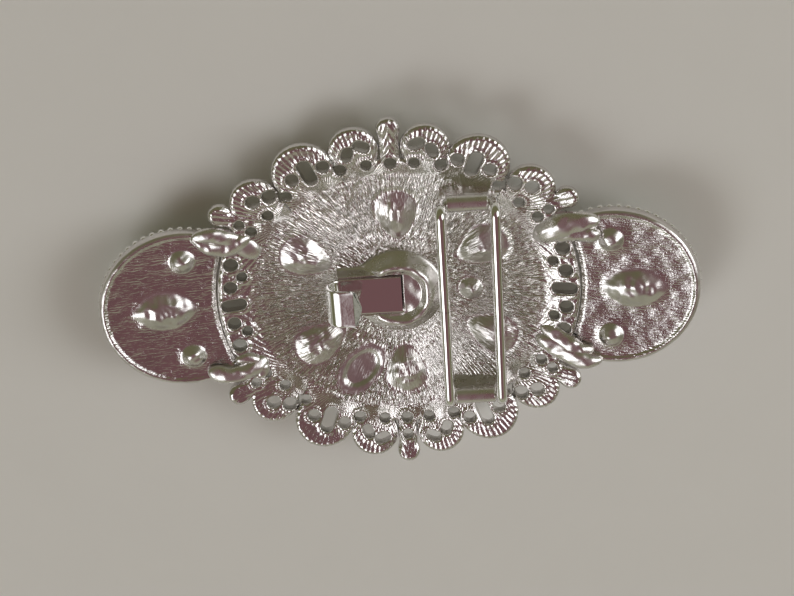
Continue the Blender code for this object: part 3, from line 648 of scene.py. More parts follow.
def cast_silver(name, radial):
    """Silver plate over spin-cast white metal: bright, but broken up so that it glitters.

    Its height is rough * (lines + grit + ridges) + swell. The mesh's grain holds the phase
    and the strength of the ridges, and how smooth the metal is, which is 1 - rough.
    """
    made, tree, shader, spot = fresh(name)
    if radial:
        # wheel marks about 0.5 mm apart and 3 mm long; past 16 mm out there are twice as many
        way = add(tree, "ShaderNodeVectorMath", {0: spot}, operation="NORMALIZE").outputs[0]
        reach = add(tree, "ShaderNodeVectorMath", {0: spot}, operation="LENGTH").outputs["Value"]
        side = add(tree, "ShaderNodeSeparateXYZ", {0: way}).outputs
        base = add(tree, "ShaderNodeCombineXYZ", {0: side[0], 1: side[1], 2: reach}).outputs[0]
        paces = [(30.0, 30.0, 330.0), (62.0, 62.0, 330.0)]
        heights, sheen = (3.6, 0.40, 0.20), 0.17
    else:
        # faint brush lines about 0.5 mm apart and 2.5 mm long
        base, paces = spot, [(520.0, 2600.0, 0.0)]
        heights, sheen = (0.8, 0.33, 0.20), 0.13
    sets = []
    for pace in paces:
        lined = add(tree, "ShaderNodeVectorMath", {0: base, 1: pace}, operation="MULTIPLY").outputs[0]
        sets.append(add(tree, "ShaderNodeTexNoise", {"Vector": lined, "Scale": 1.0, "Detail": 1.5,
                                                     "Roughness": 0.55, "Distortion": 0.2}).outputs["Fac"])
    streaks = sets[0]
    if radial:
        past = add(tree, "ShaderNodeMapRange", {"Value": reach, "From Min": 15 * MM, "From Max": 17 * MM})
        streaks = add(tree, "ShaderNodeMixRGB", {"Fac": past.outputs[0], "Color1": sets[0],
                                                 "Color2": sets[1]}).outputs[0]
    # grit about 0.4 mm across
    grit = add(tree, "ShaderNodeTexNoise", {"Vector": spot, "Scale": 2400.0, "Detail": 2.0,
                                            "Roughness": 0.7}).outputs["Fac"]
    soft = add(tree, "ShaderNodeTexNoise", {"Vector": spot, "Scale": 700.0, "Detail": 1.0}).outputs["Fac"]
    marks = add(tree, "ShaderNodeAttribute", attribute_name="grain").outputs["Vector"]
    phase, strength, smooth = add(tree, "ShaderNodeSeparateXYZ", {0: marks}).outputs
    plain = add(tree, "ShaderNodeMath", {0: 1.15, 1: strength}, operation="SUBTRACT").outputs[0]
    lines = add(tree, "ShaderNodeMath", {0: streaks, 1: plain}, operation="MULTIPLY").outputs[0]
    wave = add(tree, "ShaderNodeMath", {0: phase}, operation="SINE").outputs[0]
    ridges = add(tree, "ShaderNodeMath", {0: wave, 1: strength}, operation="MULTIPLY").outputs[0]
    parts = add(tree, "ShaderNodeCombineXYZ", {0: lines, 1: grit, 2: ridges}).outputs[0]
    total = add(tree, "ShaderNodeVectorMath", {0: parts, 1: heights}, operation="DOT_PRODUCT").outputs["Value"]
    rough = add(tree, "ShaderNodeMath", {0: 1.0, 1: smooth}, operation="SUBTRACT").outputs[0]
    swell = add(tree, "ShaderNodeMath", {0: soft, 1: 0.25}, operation="MULTIPLY").outputs[0]
    height = add(tree, "ShaderNodeMath", {0: total, 1: rough, 2: swell}, operation="MULTIPLY_ADD").outputs[0]
    bump = add(tree, "ShaderNodeBump", {"Strength": 1.0, "Distance": sizes().grain, "Height": height})
    tarnish = add(tree, "ShaderNodeTexNoise", {"Vector": spot, "Scale": 160.0, "Detail": 3.0}).outputs["Fac"]
    tone = add(tree, "ShaderNodeValToRGB", {"Fac": tarnish})
    for element, place, share in zip(tone.color_ramp.elements, (0.3, 0.65), (0.86, 1.0)):
        element.position = place
        element.color = (*[c * share for c in colours().cast], 1.0)
    worn = add(tree, "ShaderNodeMapRange", {"Value": smooth, "To Min": sheen, "To Max": 0.30}).outputs[0]
    feed(tree, shader, {"Base Color": tone.outputs["Color"], "Roughness": worn,
                        "Normal": bump.outputs["Normal"], "Metallic": 1.0})
    return made


def soft_silver(name, lumps):
    """Silver plate over flowed solder: smooth, a little wavy, with fine pits."""
    made, tree, shader, spot = fresh(name)
    swell = add(tree, "ShaderNodeTexNoise", {"Vector": spot, "Scale": 520.0, "Detail": 2.0}).outputs["Fac"]
    pits = add(tree, "ShaderNodeTexNoise", {"Vector": spot, "Scale": 2600.0, "Detail": 1.0}).outputs["Fac"]
    fine = add(tree, "ShaderNodeMath", {0: pits, 1: 0.12}, operation="MULTIPLY").outputs[0]
    height = add(tree, "ShaderNodeMath", {0: swell, 1: lumps, 2: fine}, operation="MULTIPLY_ADD").outputs[0]
    bump = add(tree, "ShaderNodeBump", {"Strength": 1.0, "Distance": 0.14 * MM, "Height": height})
    worn = add(tree, "ShaderNodeMapRange", {"Value": swell, "To Min": 0.20, "To Max": 0.36}).outputs[0]
    feed(tree, shader, {"Base Color": (*colours().cast, 1.0), "Roughness": worn,
                        "Normal": bump.outputs["Normal"], "Metallic": 1.0})
    return made


def polished_silver(name):
    """Silver plate over drawn wire and rolled strip, buffed: near a mirror, with faint handling
    scratches along it."""
    made, tree, shader, spot = fresh(name)
    scuff = add(tree, "ShaderNodeTexNoise", {"Vector": spot, "Scale": 1100.0, "Detail": 3.0}).outputs["Fac"]
    bump = add(tree, "ShaderNodeBump", {"Strength": 0.5, "Distance": 0.02 * MM, "Height": scuff})
    worn = add(tree, "ShaderNodeMapRange", {"Value": scuff, "To Min": 0.04, "To Max": 0.13}).outputs[0]
    feed(tree, shader, {"Base Color": (*colours().polished, 1.0), "Roughness": worn,
                        "Normal": bump.outputs["Normal"], "Metallic": 1.0})
    return made


def foiled_crystal(name):
    """Pressed lead glass with a silvered back: clear facets over a bright mirror."""
    made, tree, shader, spot = fresh(name)
    haze = add(tree, "ShaderNodeTexNoise", {"Vector": spot, "Scale": 900.0, "Detail": 2.0}).outputs["Fac"]
    worn = add(tree, "ShaderNodeMapRange", {"Value": haze, "To Min": 0.01, "To Max": 0.05}).outputs[0]
    feed(tree, shader, {"Base Color": (*colours().crystal, 1.0), "Roughness": worn, "Metallic": 0.0,
                        "IOR": 1.6, "Transmission Weight": 0.75, "Coat Weight": 0.5})
    return made


def pale_floor(name):
    """Matt painted board, with the faintest mottle."""
    made, tree, shader, spot = fresh(name)
    mottle = add(tree, "ShaderNodeTexNoise", {"Vector": spot, "Scale": 60.0, "Detail": 4.0}).outputs["Fac"]
    tone = add(tree, "ShaderNodeValToRGB", {"Fac": mottle})
    for element, share in zip(tone.color_ramp.elements, (0.97, 1.0)):
        element.color = (*[c * share for c in colours().floor], 1.0)
    feed(tree, shader, {"Base Color": tone.outputs["Color"], "Roughness": 0.85})
    return made


# How each material is made, and its setting
FINISHES = {
    "silver_plated_casting": (cast_silver, True),
    "silver_plated_wing_casting": (cast_silver, False),
    "silver_plated_solder": (soft_silver, 0.35),
    "silver_plated_fitting": (soft_silver, 0.3),
    "buffed_silver_plate": (polished_silver,),
    "foil_backed_lead_glass": (foiled_crystal,),
    "matt_painted_board": (pale_floor,),
}


def finish_of(name):
    """The material of that name, made the first time it is asked for."""
    maker, *setting = FINISHES[name]
    return bpy.data.materials.get(name) or maker(name, *setting)


# ---------------------------------------------------------------- pieces

def wing_matrix(out):
    """The wing's frame: on the chord, x outwards, leaning towards the back."""
    turn = Matrix.Rotation(0.0 if out > 0 else math.pi, 4, "Z") @ Matrix.Rotation(-WING_TILT, 4, "Y")
    return Matrix.Translation((out * WING_CHORD_X, 0.0, WING_Z)) @ turn


def stood(p, x, y, turn):
    """Corners turned about Z and moved to (x, y) in mm."""
    c, s = math.cos(turn), math.sin(turn)
    spun = p.copy()
    spun[..., 0] = x * MM + c * p[..., 0] - s * p[..., 1]
    spun[..., 1] = y * MM + s * p[..., 0] + c * p[..., 1]
    return spun


def collet(shape, length, width, x, y, turn, foot, rim):
    """A cup's wall: the outline moved along its normals through a closed section, from foot to rim."""
    t = np.linspace(0, 2 * math.pi, 72, endpoint=False)
    line = shape(t, length * MM, width * MM)
    tangent = np.roll(line, -1, 0) - np.roll(line, 1, 0)
    normal = np.stack([tangent[:, 1], -tangent[:, 0]], -1)
    normal /= np.maximum(np.linalg.norm(normal, axis=1, keepdims=True), 1e-12)
    down = np.sign(rim - foot)
    wall = CUP_WALL * MM
    section = [(0.25 * MM, foot), (0.0, foot + down * 0.3 * MM), (0.0, rim - down * 0.25 * MM),
               (-0.12 * MM, rim), (-wall + 0.1 * MM, rim), (-wall, rim - down * 0.15 * MM), (-wall, foot)]
    rows = []
    for offset, z in section:
        nick = 0.05 * MM * np.cos(24 * t) if abs(z - rim) < 0.2 * MM else 0.0
        ring = line + normal * offset
        rows.append(np.column_stack([ring, np.full(len(t), z) + nick]))
    return stood(np.stack(rows, 1), x, y, turn)


def collets(name, places, foot, rim, place, material):
    """All the cup walls of one casting, as one mesh of closed rings."""
    verts, faces, count = [], [], 0
    for _, shape, length, width, x, y, turn in places:
        base = foot(np.array([x * MM, y * MM]))
        rings = collet(shape, length, width, x, y, turn, base, rim)
        verts.append(rings.reshape(-1, 3))
        faces += [f + count for f in skin(rings, True)]
        count += len(verts[-1])
    return outward(mesh_piece(name, placed(place, np.concatenate(verts)), faces, material))


def brilliant(name, shape, length, width, x, y, turn, facets, levels, place):
    """A faceted stone over an outline.

    Round the table run stars, kites and girdle facets, and behind the girdle the pavilion
    falls to a point. Every second corner of the girdle carries a kite.
    """
    m = facets
    a = math.pi * np.arange(2 * m) / m
    share = sizes().table
    table, crown, girdle, belt, back, culet = levels
    rings = [
        (a[0::2], share, table), (a[1::2], (1 + share) / 2, crown), (a, 1.0, girdle), (a, 1.0, belt),
        (a[1::2], 0.55, back),
    ]
    rows = [np.column_stack([shape(t, length * MM, width * MM) * k, np.full(len(t), z)]) for t, k, z in rings]
    verts = np.concatenate(rows + [[[0.0, 0.0, culet]]])
    i = np.arange(m)
    nxt = (i + 1) % m
    j = np.arange(2 * m)
    jn = (j + 1) % (2 * m)
    T, C, G, B, P = 0, m, 2 * m, 4 * m, 6 * m
    after = (2 * i + 2) % (2 * m)
    faces = [[T + i]]
    faces.append(np.stack([T + i, C + i, T + nxt], -1))
    faces.append(np.stack([T + nxt, C + i, G + after, C + nxt], -1))
    faces.append(np.stack([C + i, G + 2 * i, G + 2 * i + 1], -1))
    faces.append(np.stack([C + i, G + 2 * i + 1, G + after], -1))
    faces.append(np.stack([G + j, B + j, B + jn, G + jn], -1))
    faces.append(np.stack([P + i, B + 2 * i + 1, B + 2 * i], -1))
    faces.append(np.stack([P + i, B + after, B + 2 * i + 1], -1))
    faces.append(np.stack([P + i, P + nxt, B + after], -1))
    faces.append(np.stack([P + i, np.full(m, 7 * m), P + nxt], -1))
    flat = [f for group in faces for f in group]
    corners = placed(place, stood(verts, x, y, turn))
    return outward(mesh_piece(name, corners, flat, finish_of("foil_backed_lead_glass"), smooth=False))


def beads(name, centres, diameter, place, material):
    """A row of small balls, each with ten sides, five rows and two poles, at the given centres."""
    sides, rows = 10, 5
    poles = sides * rows
    t = np.linspace(0, 2 * math.pi, sides, endpoint=False)
    h = np.linspace(0, math.pi, rows + 2)[1:-1]
    ring = np.stack([np.outer(np.sin(h), np.cos(t)), np.outer(np.sin(h), np.sin(t)),
                     np.outer(np.cos(h), np.ones(sides))], -1)
    ball = np.concatenate([ring.reshape(-1, 3), [[0, 0, 1], [0, 0, -1]]]) * diameter / 2
    index = np.arange(poles).reshape(rows, sides)
    quads = np.stack([index[:-1], index[1:], np.roll(index[1:], -1, 1), np.roll(index[:-1], -1, 1)], -1)
    quads = quads.reshape(-1, 4)
    top = np.stack([index[0], np.roll(index[0], -1), np.full(sides, poles)], -1)
    foot = np.stack([np.roll(index[-1], -1), index[-1], np.full(sides, poles + 1)], -1)
    verts = (centres[:, None] + ball[None]).reshape(-1, 3)
    shift = (poles + 2) * np.arange(len(centres))[:, None, None]
    faces = []
    for group in (quads, top, foot):
        faces += list((group[None] + shift).reshape(-1, group.shape[1]))
    return mesh_piece(name, placed(place, verts), faces, material)


def seat(p):
    """The surface a bridge lies on: the medallion's back, and past its side the wing's rim."""
    x = np.abs(p[..., 0])
    held = np.stack([np.minimum(x, SIDE_X), p[..., 1]], -1)
    wing = WING_Z + (x - WING_CHORD_X) * math.tan(WING_TILT)
    return soft_max(plate_back(held), np.where(x > SIDE_X - 2 * MM, wing, 0.0), 0.3 * MM)


def bridge(name, out, up, arms, seed):
    """Runs of solder draped along routes, one closed skin for each arm.

    An arm is a smooth curve through the listed points. Across it runs a half oval whose
    width and height swell and pinch along the run and close at both ends.
    """
    pick = np.random.default_rng(seed)
    verts, faces = [], []
    for wide, tall, route in arms:
        route = np.array(route) * MM
        u = np.linspace(0, 1, 60)
        knots = np.linspace(0, 1, len(route))
        fit = [np.polynomial.Polynomial.fit(knots, route[:, k], min(3, len(route) - 1))(u) for k in (0, 1)]
        line = np.stack(fit, -1)
        way = np.gradient(line, axis=0)
        way /= np.linalg.norm(way, axis=1, keepdims=True)
        aside = np.stack([-way[:, 1], way[:, 0]], -1)
        a, b, c = pick.uniform(0, 6, 3)
        close = np.sqrt(np.clip(1 - np.abs(2 * u - 1) ** 3.5, 0, 1)) + 1e-3
        width = wide * MM / 2 * close * (1 + 0.14 * np.sin(6 * u + a) + 0.04 * np.sin(17 * u + b))
        height = tall * MM * close * (1 + 0.16 * np.sin(7 * u + b) + 0.04 * np.sin(19 * u + c))
        v = np.linspace(0, 2 * math.pi, 28, endpoint=False)
        rise = np.where(np.sin(v) > 0, np.abs(np.sin(v)), -0.35 * np.abs(np.sin(v)))
        flat = line[:, None] + aside[:, None] * (np.cos(v)[None] * width[:, None])[..., None]
        z = seat(flat) + height[:, None] * rise[None] * (1 + 0.08 * waves(flat, 2.2 * MM, seed))
        rings = np.concatenate([flat, z[..., None]], -1) * np.array([out, up, 1.0])
        faces += [f + sum(map(len, verts)) for f in skin(rings, False)]
        verts.append(rings.reshape(-1, 3))
    return outward(mesh_piece(name, np.concatenate(verts), faces, finish_of("silver_plated_solder")))


def base_height(p):
    """The hook's collar and tongue over the plate: a ring that fades on the left, a ramp, a pocket."""
    x, y = p[..., 0], np.abs(p[..., 1])
    r, turn = np.hypot(x, y), np.arctan2(y, x)
    ring = COLLAR_RISE * hump(r, COLLAR_RADIUS, 2.3 * MM) * (1 - 0.45 * ease(2.0, 2.7, turn))
    floor = 2.2 * MM * ease(6.5 * MM, 4.5 * MM, r)
    skirt = 0.9 * MM * ease(9.4 * MM, 7.2 * MM, r)
    side = ease(TONGUE_HALF, 4.4 * MM, y) * ease(-13.4 * MM, -12.2 * MM, x)
    tongue = TONGUE_RISE * side * ease(3.0 * MM, 0.0, x)
    body = soft_max(np.maximum(np.maximum(ring, skirt), floor), tongue, 0.7 * MM)
    body = body * (1 + 0.05 * waves(p, 3.4 * MM, 21))
    pocket = ease(0.15 * MM, -0.05 * MM, y - POCKET_HALF) * ease(0.15 * MM, -0.05 * MM, x - POCKET_END)
    return body * (1 - pocket) + np.minimum(body, POCKET_RISE) * pocket


def base_inside(p):
    """Inside distance of the collar's disc joined to the tongue's strip."""
    disc = capsule(p, 0, 0, 0, 0, BASE_HIGH.x)
    along = np.minimum(p[..., 0] - BASE_LOW.x + 0.2 * MM, -p[..., 0])
    return soft_max(disc, np.minimum(TONGUE_HALF - np.abs(p[..., 1]), along), 1.5 * MM)


def ear(name, up):
    """A wall with a rolled knuckle on top.

    Its section, up one side, round the knuckle and down the other, is carried across the
    buckle. Past the knuckle's ends the section sinks to the wall's shoulder.
    """
    low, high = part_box(name)
    middle = (low.x + high.x) / 2
    y0 = (low.y + high.y) / 2
    knuckle = (high.y - low.y) / 2
    axis = high.z - knuckle
    half, flare = 1.25 * MM, 0.9 * MM
    narrow = (WIRE_HIGH.x - WIRE_LOW.x) / 2 - 2 * WIRE_RADIUS - 0.25 * MM
    wide = (high.x - low.x) / 2
    shoulder = PLATE_Z + 4.6 * MM
    meet = math.asin(half / knuckle)
    arc = np.linspace(-math.pi / 2 + meet, 1.5 * math.pi - meet, 30)
    s = np.linspace(0, 1, 12)[:-1]
    foot = PLATE_Z + 1.0 * MM
    neck = axis - knuckle * math.cos(meet)
    right = np.column_stack([half + flare * (1 - s) ** 4, foot + (neck - foot) * s])
    left = right[::-1] * [-1, 1]
    roll = np.column_stack([knuckle * np.cos(arc), axis + knuckle * np.sin(arc)])
    section = np.concatenate([right, roll, left])
    t = np.linspace(-1, 1, 50)
    x = wide * np.sign(t) * (1 - (1 - np.abs(t)) ** 1.3)
    full = ease(narrow + 0.55 * MM, narrow + 0.05 * MM, np.abs(x))[:, None]
    sunk = foot + (section[:, 1] - foot) * (shoulder - foot) / (high.z - foot)
    z = sunk[None] * (1 - full) + section[None, :, 1] * full
    thick = np.clip(section[:, 0], -half - flare, half + flare)
    slim = np.clip(section[:, 0], -half, half) * (section[:, 1] > neck) + thick * (section[:, 1] <= neck)
    y = slim[None] * (1 - full) + section[None, :, 0] * full
    end = np.sqrt(np.clip(1 - np.abs(x / wide) ** 14, 0, 1))[:, None] * 0.5 + 0.5
    rings = np.stack([np.broadcast_to((middle + x)[:, None], y.shape), up * (y * end) + y0, z], -1)
    return outward(mesh_piece(name + "_knuckle", rings, skin(rings, False), finish_of("silver_plated_fitting")))


# ---------------------------------------------------------------- operators

class BuildMedallion(bpy.types.Operator):
    """Build the pierced medallion with its dished back, scallops and knobs"""
    bl_idname = "buckle.medallion"
    bl_label = "Medallion"

    def execute(self, context):
        low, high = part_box("medallion")
        edge = np.array([MM, MM])
        body = casting("medallion_casting", medallion_inside, medallion_back, medallion_front,
                       np.array(low[:2]) - edge, np.array(high[:2]) + edge, sizes().grid,
                       medallion_grain, finish_of("silver_plated_casting"), Matrix())
        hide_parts("medallion")
        walls = collets("medallion_cups", stone_places(), lambda p: plate_back(p) - PLATE_THICK + 0.3 * MM,
                        CUP_RIM_Z, Matrix(), finish_of("silver_plated_fitting"))
        return {"FINISHED"}


class BuildWings(bpy.types.Operator):
    """Build the two round wings with their cups and beaded front rims"""
    bl_idname = "buckle.wings"
    bl_label = "Wings"

    def execute(self, context):
        step = sizes().grid
        edge = 2 * step
        low = np.array([-4.5 * MM, -WING_RADIUS - edge])
        high = np.array([WING_CENTRE + WING_RADIUS + edge, WING_RADIUS + edge])
        count = 38
        reach = math.acos(-(WING_CENTRE + 2.2 * MM) / WING_RADIUS)
        t = np.linspace(-reach, reach, count)
        radius = WING_RADIUS - 0.55 * MM
        beading = -WING_DEPTH + 0.15 * MM
        centres = np.column_stack([WING_CENTRE + radius * np.cos(t), radius * np.sin(t),
                                   np.full(count, beading)])
        for side, out in (("left", -1), ("right", 1)):
            place = wing_matrix(out)
            body = casting(f"{side}_wing_casting", wing_inside, lambda p: wing_back(p, out), wing_front,
                           low, high, step, lambda p: wing_grain(p, out),
                           finish_of("silver_plated_wing_casting"), place)
            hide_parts(f"{side}_wing")
            walls = collets(f"{side}_wing_cups", wing_stone_places(out), lambda p: WING_FRONT + 0.3 * MM,
                            WING_CUP_RIM, place, finish_of("silver_plated_fitting"))
            rim = beads(f"{side}_wing_beading", centres, sizes().bead, place, finish_of("buffed_silver_plate"))
        return {"FINISHED"}


class BuildStones(bpy.types.Operator):
    """Cut the stones of the medallion and the wings"""
    bl_idname = "buckle.stones"
    bl_label = "Stones"

    def execute(self, context):
        inset = 2 * (CUP_WALL + STONE_GAP)
        for node, shape, length, width, x, y, turn in stone_places():
            floor = float(plate_back(np.array([x * MM, y * MM]))) - PLATE_THICK
            levels = (0.0, 0.9 * MM, CUP_RIM_Z, CUP_RIM_Z + 0.5 * MM, (CUP_RIM_Z + floor) / 2, floor)
            stone = brilliant(node + "_crystal", shape, length - inset, width - inset, x, y, turn,
                              12 if node == "centre_stone" else 8, levels, Matrix())
            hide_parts(node)
        rim, floor = WING_CUP_RIM, WING_FRONT
        for side, out in (("left", -1), ("right", 1)):
            for node, shape, length, width, x, y, turn in wing_stone_places(out):
                levels = (rim - 1.2 * MM, rim - 0.6 * MM, rim, rim + 0.4 * MM, (rim + floor) / 2, floor)
                name = f"{side}_wing_{node}"
                stone = brilliant(name + "_crystal", shape, length - inset, width - inset, x, y, turn, 8,
                                  levels, wing_matrix(out))
                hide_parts(name)
        return {"FINISHED"}


class BuildBridges(bpy.types.Operator):
    """Run the solder bridges that tie the wings to the medallion"""
    bl_idname = "buckle.bridges"
    bl_label = "Solder Bridges"

    def execute(self, context):
        # each arm: width and height in mm, then its route, as seen in the upper right quarter
        runs = [
            ("upper_left_bridge", -1, 1, 11, [
                (4.2, 1.2, [(27.4, 10.6), (30.5, 13.2), (35.6, 16.2), (40.4, 14.6)]),
                (3.8, 1.3, [(28.6, 15.0), (32.5, 13.4), (36.0, 13.2), (40.6, 16.4)]),
            ]),
            ("lower_left_bridge", -1, -1, 12, [
                (4.3, 1.5, [(28.0, 12.6), (31.6, 14.8), (35.8, 15.6), (40.4, 14.0)]),
                (3.0, 1.3, [(30.6, 16.6), (29.2, 14.6), (31.2, 12.4), (34.6, 13.0)]),
            ]),
            ("upper_right_bridge", 1, 1, 13, [
                (5.4, 2.0, [(27.8, 10.8), (31.4, 13.4), (35.6, 14.9), (41.0, 15.0)]),
                (4.2, 1.7, [(31.0, 10.6), (34.0, 12.6), (37.6, 12.4), (40.6, 13.4)]),
            ]),
            ("lower_right_bridge", 1, -1, 14, [
                (4.3, 1.6, [(27.4, 11.6), (31.4, 13.0), (36.2, 15.6), (41.2, 15.8)]),
                (3.6, 1.3, [(28.4, 9.2), (31.8, 10.8), (35.4, 13.2), (39.4, 13.6)]),
            ]),
        ]
        for name, out, up, seed, arms in runs:
            run = bridge(name + "_run", out, up, arms, seed)
            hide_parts(name)
        return {"FINISHED"}


class BuildHookBase(bpy.types.Operator):
    """Build the collar and tongue that carry the hook"""
    bl_idname = "buckle.hook_base"
    bl_label = "Hook Base"

    def execute(self, context):
        edge = 0.6 * MM
        low = np.array([BASE_LOW.x - edge - 0.4 * MM, BASE_LOW.y - edge])
        high = np.array([BASE_HIGH.x + edge, BASE_HIGH.y + edge])
        body = casting("hook_base_collar", base_inside, lambda p: plate_back(p) + base_height(p),
                       lambda p: plate_back(p) - 0.5 * MM, low, high, 0.17 * MM,
                       lambda p: np.zeros(p.shape[:-1] + (3,)), finish_of("silver_plated_fitting"), Matrix())
        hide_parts("hook_base")
        return {"FINISHED"}


class BuildHook(bpy.types.Operator):
    """Bend the strip of the hook"""
    bl_idname = "buckle.hook"
    bl_label = "Belt Hook"

    def execute(self, context):
        half = (HOOK_HIGH.y - HOOK_LOW.y) / 2
        bend = (HOOK_HIGH.z - HOOK_LOW.z - HOOK_THICK) / 2
        low, high = HOOK_LOW.z + HOOK_THICK / 2, HOOK_HIGH.z - HOOK_THICK / 2
        corner = HOOK_LOW.x + HOOK_THICK / 2
        path = rail([(HOOK_HIGH.x, 0, low), (corner, 0, low), (corner, 0, high), (HOOK_END, 0, high)],
                    [bend, bend], 16)
        extra = np.linspace(0, 1, 14)[1:-1, None]
        places, sides, ups = path
        run = places[-2] + (places[-1] - places[-2]) * extra
        places = np.concatenate([places[:-1], run, places[-1:]])
        sides = np.concatenate([sides[:-1], np.repeat(sides[-1:], len(run) + 1, 0)])
        ups = np.concatenate([ups[:-1], np.repeat(ups[-1:], len(run) + 1, 0)])
        t = np.linspace(0, 2 * math.pi, 44, endpoint=False)
        section = np.stack([half * np.sign(np.cos(t)) * np.abs(np.cos(t)) ** 0.12,
                            HOOK_THICK / 2 * np.sign(np.sin(t)) * np.abs(np.sin(t)) ** 0.35], -1)
        rings = carried((places, sides, ups), section)
        flap = rings[..., 2] > (low + high) / 2
        across = np.abs(rings[..., 1]) / half
        start = corner + bend
        share = np.clip((rings[..., 0] - start) / (HOOK_END - start), 0, 1)
        rounding = 1 - np.sqrt(np.clip(1 - across ** 2.4, 0, 1))
        rings[..., 0] -= np.where(flap, share * 2.6 * MM * rounding, 0.0)
        rings[..., 2] += np.where(flap, share * 0.27 * MM, 0.0)
        silver = finish_of("buffed_silver_plate")
        piece = outward(mesh_piece("belt_hook_strip", rings, skin(rings, False), silver))
        piece.data.set_sharp_from_angle(angle=math.radians(50))
        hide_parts("belt_hook")
        return {"FINISHED"}


class BuildLoop(bpy.types.Operator):
    """Bend the wire of the belt loop"""
    bl_idname = "buckle.loop"
    bl_label = "Belt Loop"

    def execute(self, context):
        left, right = WIRE_LOW.x + WIRE_RADIUS, WIRE_HIGH.x - WIRE_RADIUS
        y = WIRE_HIGH.y - WIRE_RADIUS
        low, high = WIRE_LOW.z + WIRE_RADIUS, WIRE_HIGH.z - WIRE_RADIUS
        seam = 0.06 * MM
        corners = [
            (left, seam, high), (left, y, high), (left, y, low), (right, y, low), (right, y, high),
            (right, -y, high), (right, -y, low), (left, -y, low), (left, -y, high), (left, -seam, high),
        ]
        t = np.linspace(0, 2 * math.pi, 28, endpoint=False)
        section = WIRE_RADIUS * np.stack([np.cos(t), np.sin(t)], -1)
        rings = carried(rail(corners, [WIRE_BEND] * 8, 10), section)
        silver = finish_of("buffed_silver_plate")
        piece = outward(mesh_piece("belt_loop_wire", rings, skin(rings, False), silver))
        piece.data.set_sharp_from_angle(angle=math.radians(60))
        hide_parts("belt_loop")
        return {"FINISHED"}


class BuildEars(bpy.types.Operator):
    """Build the two ears that hold the wire loop"""
    bl_idname = "buckle.ears"
    bl_label = "Loop Ears"

    def execute(self, context):
        for name, up in (("upper_loop_ear", 1), ("lower_loop_ear", -1)):
            piece = ear(name, up)
            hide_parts(name)
        return {"FINISHED"}


class BuildStage(bpy.types.Operator):
    """Lay the pale floor, hang the soft lights and set the camera"""
    bl_idname = "buckle.stage"
    bl_label = "Stage"

    def execute(self, context):
        scene = context.scene
        scene.view_settings.view_transform = "Standard"
        half = 2.0
        verts = [[-half, -half, 0], [half, -half, 0], [half, half, 0], [-half, half, 0]]
        mesh = bpy.data.meshes.new("floor")
        mesh.from_pydata(verts, [], [[0, 1, 2, 3]])
        mesh.materials.append(finish_of("matt_painted_board"))
        floor = bpy.data.objects.new("floor", mesh)
        scene.collection.objects.link(floor)
        soft_room(scene)
        lamp("left_softbox", [LAMP_REACH * v for v in LEFT_GLOW], (0.30, 0.30), 0.5, linear("fffefc"))
        lamp("right_softbox", [LAMP_REACH * v for v in RIGHT_GLOW], (0.40, 0.40), 0.8, linear("fffefb"))
        camera(scene)
        return {"FINISHED"}


def lamp(name, place, size, power, colour):
    """A rectangular soft light that faces the buckle."""
    light = bpy.data.lights.new(name, "AREA")
    light.shape = "RECTANGLE"
    light.size, light.size_y = size
    light.energy = power
    light.color = colour
    obj = bpy.data.objects.new(name, light)
    bpy.context.scene.collection.objects.link(obj)
    obj.location = place
    aim = Vector((0, 0, PLATE_Z)) - Vector(place)
    obj.rotation_euler = aim.to_track_quat("-Z", "Y").to_euler()
    return obj


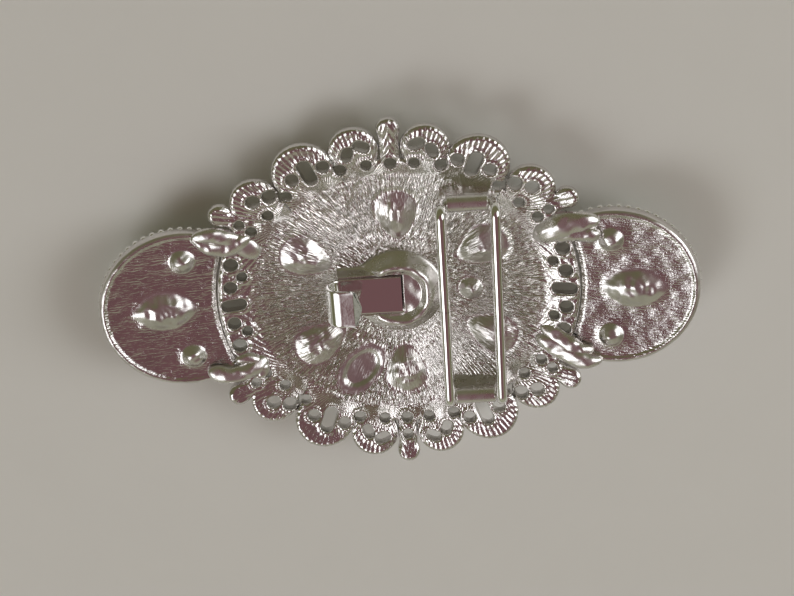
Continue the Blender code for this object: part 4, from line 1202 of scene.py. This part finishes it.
def soft_room(scene):
    """A dim olive room, mauve overhead, pale near the floor, with two bright glows.

    Each colour comes in with a smooth step of the dot product of the direction and its middle.
    """
    world = bpy.data.worlds.new("soft_room")
    scene.world = world
    world.use_nodes = True
    tree = world.node_tree
    way = add(tree, "ShaderNodeTexCoord").outputs["Generated"]

    def towards(middle, start, full, low, high):
        """A value that eases from low to high between two angles, in degrees, off a direction."""
        near = add(tree, "ShaderNodeVectorMath", {0: way, 1: middle}, operation="DOT_PRODUCT").outputs["Value"]
        span = {"Value": near, "From Min": math.cos(math.radians(start)),
                "From Max": math.cos(math.radians(full)), "To Min": low, "To Max": high}
        return add(tree, "ShaderNodeMapRange", span, interpolation_type="SMOOTHSTEP").outputs[0]

    glows = ((LEFT_GLOW, 22, 13), (RIGHT_GLOW, 25, 15))
    layers = [
        ("9a9985", (0.0, -0.8, 0.6), 55, 20, 0.0, 1.0),
        ("6e5052", (0.1, -0.2, 0.975), 48, 26, 0.0, 1.0),
        ("a3a397", (0.0, 0.0, 1.0), 90, 76, 1.0, 0.0),
    ]
    tone = (*linear("67644a"), 1.0)
    for colour, *span in layers + [("ffffff", *glow, 0.0, 1.0) for glow in glows]:
        tone = add(tree, "ShaderNodeMixRGB", {"Fac": towards(*span), "Color1": tone,
                                              "Color2": (*linear(colour), 1.0)}).outputs[0]
    left, right = (towards(*glow, 1.0, 1.5) for glow in glows)
    lit = add(tree, "ShaderNodeMath", {0: left, 1: right}, operation="MULTIPLY").outputs[0]
    feed(tree, tree.nodes["Background"], {"Color": tone, "Strength": lit})


def camera(scene):
    """A long lens, leaning off the back's normal, a little to the right and rolled."""
    lens = bpy.data.cameras.new("camera")
    lens.lens = LENS
    lens.sensor_width = 36.0
    obj = bpy.data.objects.new("camera", lens)
    scene.collection.objects.link(obj)
    back = Vector((math.sin(YAW) * math.cos(LEAN), math.sin(LEAN), math.cos(YAW) * math.cos(LEAN)))
    right = Vector((0.0, 1.0, 0.0)).cross(back).normalized()
    up = back.cross(right)
    across = right * math.cos(ROLL) - up * math.sin(ROLL)
    above = right * math.sin(ROLL) + up * math.cos(ROLL)
    turn = Matrix((across, above, back)).transposed().to_4x4()
    obj.matrix_world = Matrix.Translation(Vector(CAMERA_AIM) + back * CAMERA_REACH) @ turn
    scene.camera = obj


class BucklePanel(bpy.types.Panel):
    """Lists the buckle's pieces, sizes and colours."""
    bl_idname = "VIEW3D_PT_buckle"
    bl_label = "Belt Buckle"
    bl_space_type = "VIEW_3D"
    bl_region_type = "UI"
    bl_category = "Buckle"

    def draw(self, context):
        layout = self.layout
        for group in (context.scene.buckle_sizes, context.scene.buckle_colours):
            box = layout.box()
            for name in group.__annotations__:
                box.prop(group, name)
        for builder in OPERATORS:
            layout.operator(builder.bl_idname)


OPERATORS = (BuildMedallion, BuildWings, BuildStones, BuildBridges, BuildHookBase, BuildHook,
             BuildLoop, BuildEars, BuildStage)
CLASSES = (BuckleSizes, BuckleColours) + OPERATORS + (BucklePanel,)


def register():
    for cls in CLASSES:
        bpy.utils.register_class(cls)
    bpy.types.Scene.buckle_sizes = PointerProperty(type=BuckleSizes)
    bpy.types.Scene.buckle_colours = PointerProperty(type=BuckleColours)


def unregister():
    del bpy.types.Scene.buckle_sizes
    del bpy.types.Scene.buckle_colours
    for cls in reversed(CLASSES):
        bpy.utils.unregister_class(cls)


def main():
    register()
    for builder in OPERATORS:
        group, name = builder.bl_idname.split(".")
        getattr(getattr(bpy.ops, group), name)()
    bpy.context.view_layer.update()


if __name__ == "__main__":
    main()
